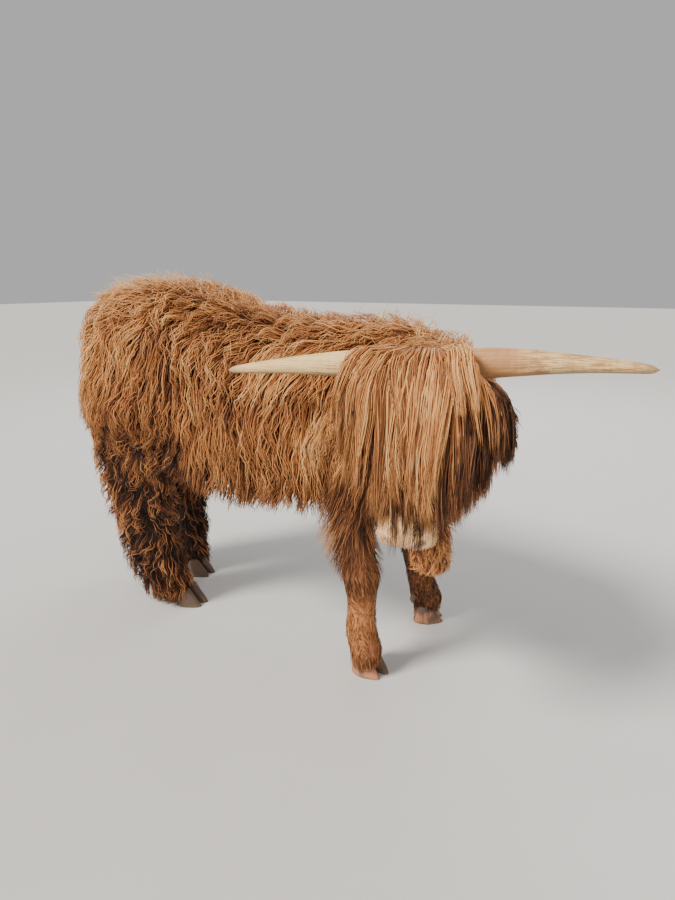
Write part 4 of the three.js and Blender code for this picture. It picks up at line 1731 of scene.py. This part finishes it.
class COW_OT_leg_coats(CowOperator, bpy.types.Operator):
    """Curly trousers on the hind legs, short hair on the fore legs"""

    bl_idname = "cow.leg_coats"
    bl_label = "Leg coats"

    def make(self, sizes):
        points = the_body().points
        above_hoof = smooth_step(0.030, 0.055, points[:, 2])
        for seed, leg in enumerate(LEGS, 120):
            if "hind" in leg:
                fleece = Fleece(
                    count=2400, lie=curly_lie, length=hind_length, points=9,
                    width=sizes.strand_width * 0.9, per_lock=7, clump=0.72, wave=0.045, swing=0.0095,
                    stiffness=0.5, stand=1.1, lean=0.011, stray=0.06, lowest=0.012, contrast=1.75,
                )
                beside = (points[:, 1] > SPINE) == leg.endswith("left")
                share = trousers() * beside * above_hoof * (1 + smooth_step(0.14, 0.08, points[:, 2]))
            else:
                fleece = Fleece(
                    count=2700, lie=fore_lie, length=fore_length, points=6,
                    width=sizes.short_width * 0.70, per_lock=6, clump=0.6, wave=0.06, swing=0.002,
                    lean=0.003, rise=0.3, stand=2.6, least_stand=0.0015, lowest=0.02, contrast=1.3,
                )
                lower = smooth_step(0.5, 0.3, points[:, 2]) + smooth_step(0.12, 0.08, points[:, 2])
                normals = the_body().normals
                lower = lower + on_fetlock(points, normals) + 0.5 * on_forearm(points, normals)
                share = on(leg) * above_hoof * (1 + 2.0 * lower)
            grow_coat(f"coat_{leg}", "coat", share, fleece, seed)


class COW_OT_face_coat(CowOperator, bpy.types.Operator):
    """Short hair of the face, longer on the cheeks and jaw"""

    bl_idname = "cow.face_coat"
    bl_label = "Face coat"

    def make(self, sizes):
        body = the_body()
        local = to_head(body.points)
        clear = clear_of_eyes(body.points) * (1 - bare_at(body.points))
        share = on("head", "muzzle") * clear * (1 + 2.0 * (local[:, 0] > MUZZLE_START))
        fleece = Fleece(
            count=5100, lie=face_lie, length=face_length, points=4,
            width=sizes.short_width * 0.55, per_lock=4, clump=0.4, wave=0.06, swing=0.001,
            rise=0.25, stand=0.7, lean=0.003, least_stand=0.002, contrast=0.5, fade=0.10,
        )
        grow_coat("coat_face", "coat", share, fleece, 130)


class COW_OT_ear_coats(CowOperator, bpy.types.Operator):
    """Long fringes on the ears"""

    bl_idname = "cow.ear_coats"
    bl_label = "Ear coats"

    def make(self, sizes):
        for seed, ear in enumerate(("ear_right", "ear_left"), 140):
            fleece = Fleece(
                count=490, lie=ear_lie, length=even_length(0.07), points=7,
                width=sizes.forelock_width, clump=0.6, wave=0.10, swing=0.004,
            )
            grow_coat(f"coat_{ear}", "long_hair", on(ear), fleece, seed)


class COW_OT_tail_coat(CowOperator, bpy.types.Operator):
    """Hair of the tail and its switch"""

    bl_idname = "cow.tail_coat"
    bl_label = "Tail coat"

    def make(self, sizes):
        fleece = Fleece(
            count=1100, lie=leg_lie, length=tail_length, width=sizes.strand_width * 0.9,
            clump=0.6, swing=0.006,
        )
        grow_coat("coat_tail", "coat", on("tail", "tail_switch"), fleece, 150)


class COW_OT_wisps(CowOperator, bpy.types.Operator):
    """A few long hairs that stand out from the rump, the withers and the crest"""

    bl_idname = "cow.wisps"
    bl_label = "Wisps"

    def make(self, sizes):
        body = the_body()
        points = body.points
        upper = smooth_step(0.3, 0.9, body.normals[:, 2]) * on("trunk", "neck", "head")
        rump = bell(points[:, 0], -0.62, 0.12)
        withers = bell(points[:, 0], 0.30, 0.16)
        crest = on("neck") * smooth_step(0.92, 1.0, points[:, 2]) * 3
        fleece = Fleece(
            count=520, lie=trunk_lie, length=even_length(0.13), width=sizes.short_width * 0.7,
            per_lock=3, clump=0.4, swing=0.014, rise=1.8, stiffness=4.0, stand=2.4, lean=0.02,
            lighter=0.20,
        )
        grow_coat("coat_wisps", "long_hair", upper * (rump + withers + crest + 0.05), fleece, 170)


class COW_OT_forelock(CowOperator, bpy.types.Operator):
    """The long straight forelock over the face, in two halves"""

    bl_idname = "cow.forelock"
    bl_label = "Forelock"

    def make(self, sizes):
        for seed, (name, side) in enumerate({"right": -1, "left": 1}.items(), 160):
            fleece = Fleece(
                count=2250, points=11, width=sizes.forelock_width, per_lock=13, clump=0.80,
                per_bundle=120, bundle=0.66, wave=0.24, swing=0.008, lean=0.014, stray=0.10,
                # painted shade: the forelock's tips are darker than its roots
                fade=-0.06, contrast=1.7,
            )
            path, outs, roots, reach, layer, rng = curtain(side, fleece, seed)
            apart = path[:, 5] + 0.5 * (layer < 0.6)[:, None]  # the deep layer has its own locks
            path, lock = gathered(path, outs, apart, reach, layer, fleece, rng)
            piece = dress(
                f"forelock_{name}", "long_hair", roots, path, outs, lock, layer, fleece, rng
            )
            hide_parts("forelock")


class COW_OT_stage(CowOperator, bpy.types.Operator):
    """A plain pale floor, soft studio light and the camera"""

    bl_idname = "cow.stage"
    bl_label = "Stage"

    def make(self, sizes):
        self.add_floor(sizes.floor_size / 2)
        self.add_camera(sizes)
        self.add_sun(Vector((0.50, 0.84, -0.90)))
        self.add_panel("fill", Vector((4.6, -3.2, 2.4)), 60)
        self.add_panel("rim", Vector((-1.5, 4.6, 3.6)), 120)
        world = bpy.data.worlds.new("studio")
        world.use_nodes = True
        background = world.node_tree.nodes["Background"]
        background.inputs["Color"].default_value = (0.93, 0.93, 0.93, 1)
        background.inputs["Strength"].default_value = 0.52
        bpy.context.scene.world = world

    def add_floor(self, half):
        points = np.array([(-half, -half, 0), (half, -half, 0), (half, half, 0), (-half, half, 0)])
        mesh = mesh_from("floor", points, [np.array([[0, 1, 2, 3]])])
        mesh.materials.append(floor_material())
        add_object("floor", mesh)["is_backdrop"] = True

    def add_camera(self, sizes):
        data = bpy.data.cameras.new("camera")
        data.lens = sizes.lens
        data.sensor_width = 36
        camera = add_object("camera", data)
        camera.location = sizes.camera_place
        camera.rotation_euler = (math.pi / 2 - sizes.camera_pitch, 0, sizes.camera_heading)
        bpy.context.scene.camera = camera

    def add_lamp(self, name, kind, energy, heading):
        """A lamp of the kind named, that shines along the heading."""
        data = bpy.data.lights.new(name, kind)
        data.energy = energy
        lamp = add_object(name, data)
        lamp.rotation_euler = heading.to_track_quat("-Z", "Y").to_euler()
        return lamp

    def add_sun(self, heading):
        sun = self.add_lamp("key", "SUN", 4.3, heading).data
        sun.color = (1.0, 0.96, 0.90)
        sun.angle = math.radians(18)  # a wide lamp, so that shadows are soft

    def add_panel(self, name, offset, power):
        """A square lamp beside the cow, turned to its middle."""
        panel = self.add_lamp(name, "AREA", power, -offset)
        panel.location = Vector((CAD_BOUNDS[0] + CAD_BOUNDS[1]) / 2) + offset
        panel.data.size = 3.0


OPERATORS = (
    COW_OT_stage,
    COW_OT_skin,
    COW_OT_eyes,
    COW_OT_horns,
    COW_OT_hooves,
    COW_OT_trunk_coat,
    COW_OT_neck_coat,
    COW_OT_leg_coats,
    COW_OT_face_coat,
    COW_OT_ear_coats,
    COW_OT_tail_coat,
    COW_OT_wisps,
    COW_OT_forelock,
)


class COW_PT_panel(bpy.types.Panel):
    """Lists the cow's pieces, sizes and colours"""

    bl_label = "Highland Cow"
    bl_idname = "COW_PT_panel"
    bl_space_type = "VIEW_3D"
    bl_region_type = "UI"
    bl_category = "Cow"

    def draw(self, context):
        for operator in OPERATORS:
            self.layout.operator(operator.bl_idname)
        for group in (context.scene.cow_sizes, context.scene.cow_colours):
            for name in group.__annotations__:
                self.layout.prop(group, name)


CLASSES = (CowSizes, CowColours, *OPERATORS, COW_PT_panel)


def register():
    for cls in CLASSES:
        bpy.utils.register_class(cls)
    bpy.types.Scene.cow_sizes = bpy.props.PointerProperty(type=CowSizes)
    bpy.types.Scene.cow_colours = bpy.props.PointerProperty(type=CowColours)


def unregister():
    del bpy.types.Scene.cow_colours
    del bpy.types.Scene.cow_sizes
    for cls in reversed(CLASSES):
        bpy.utils.unregister_class(cls)


def main():
    register()
    for operator in OPERATORS:
        family, name = operator.bl_idname.split(".")
        getattr(getattr(bpy.ops, family), name)()
    boxes = {"cad": CAD_BOUNDS, "visual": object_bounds()}
    boxes = {name: [list(corner) for corner in box] for name, box in boxes.items()}


if __name__ == "__main__":
    main()
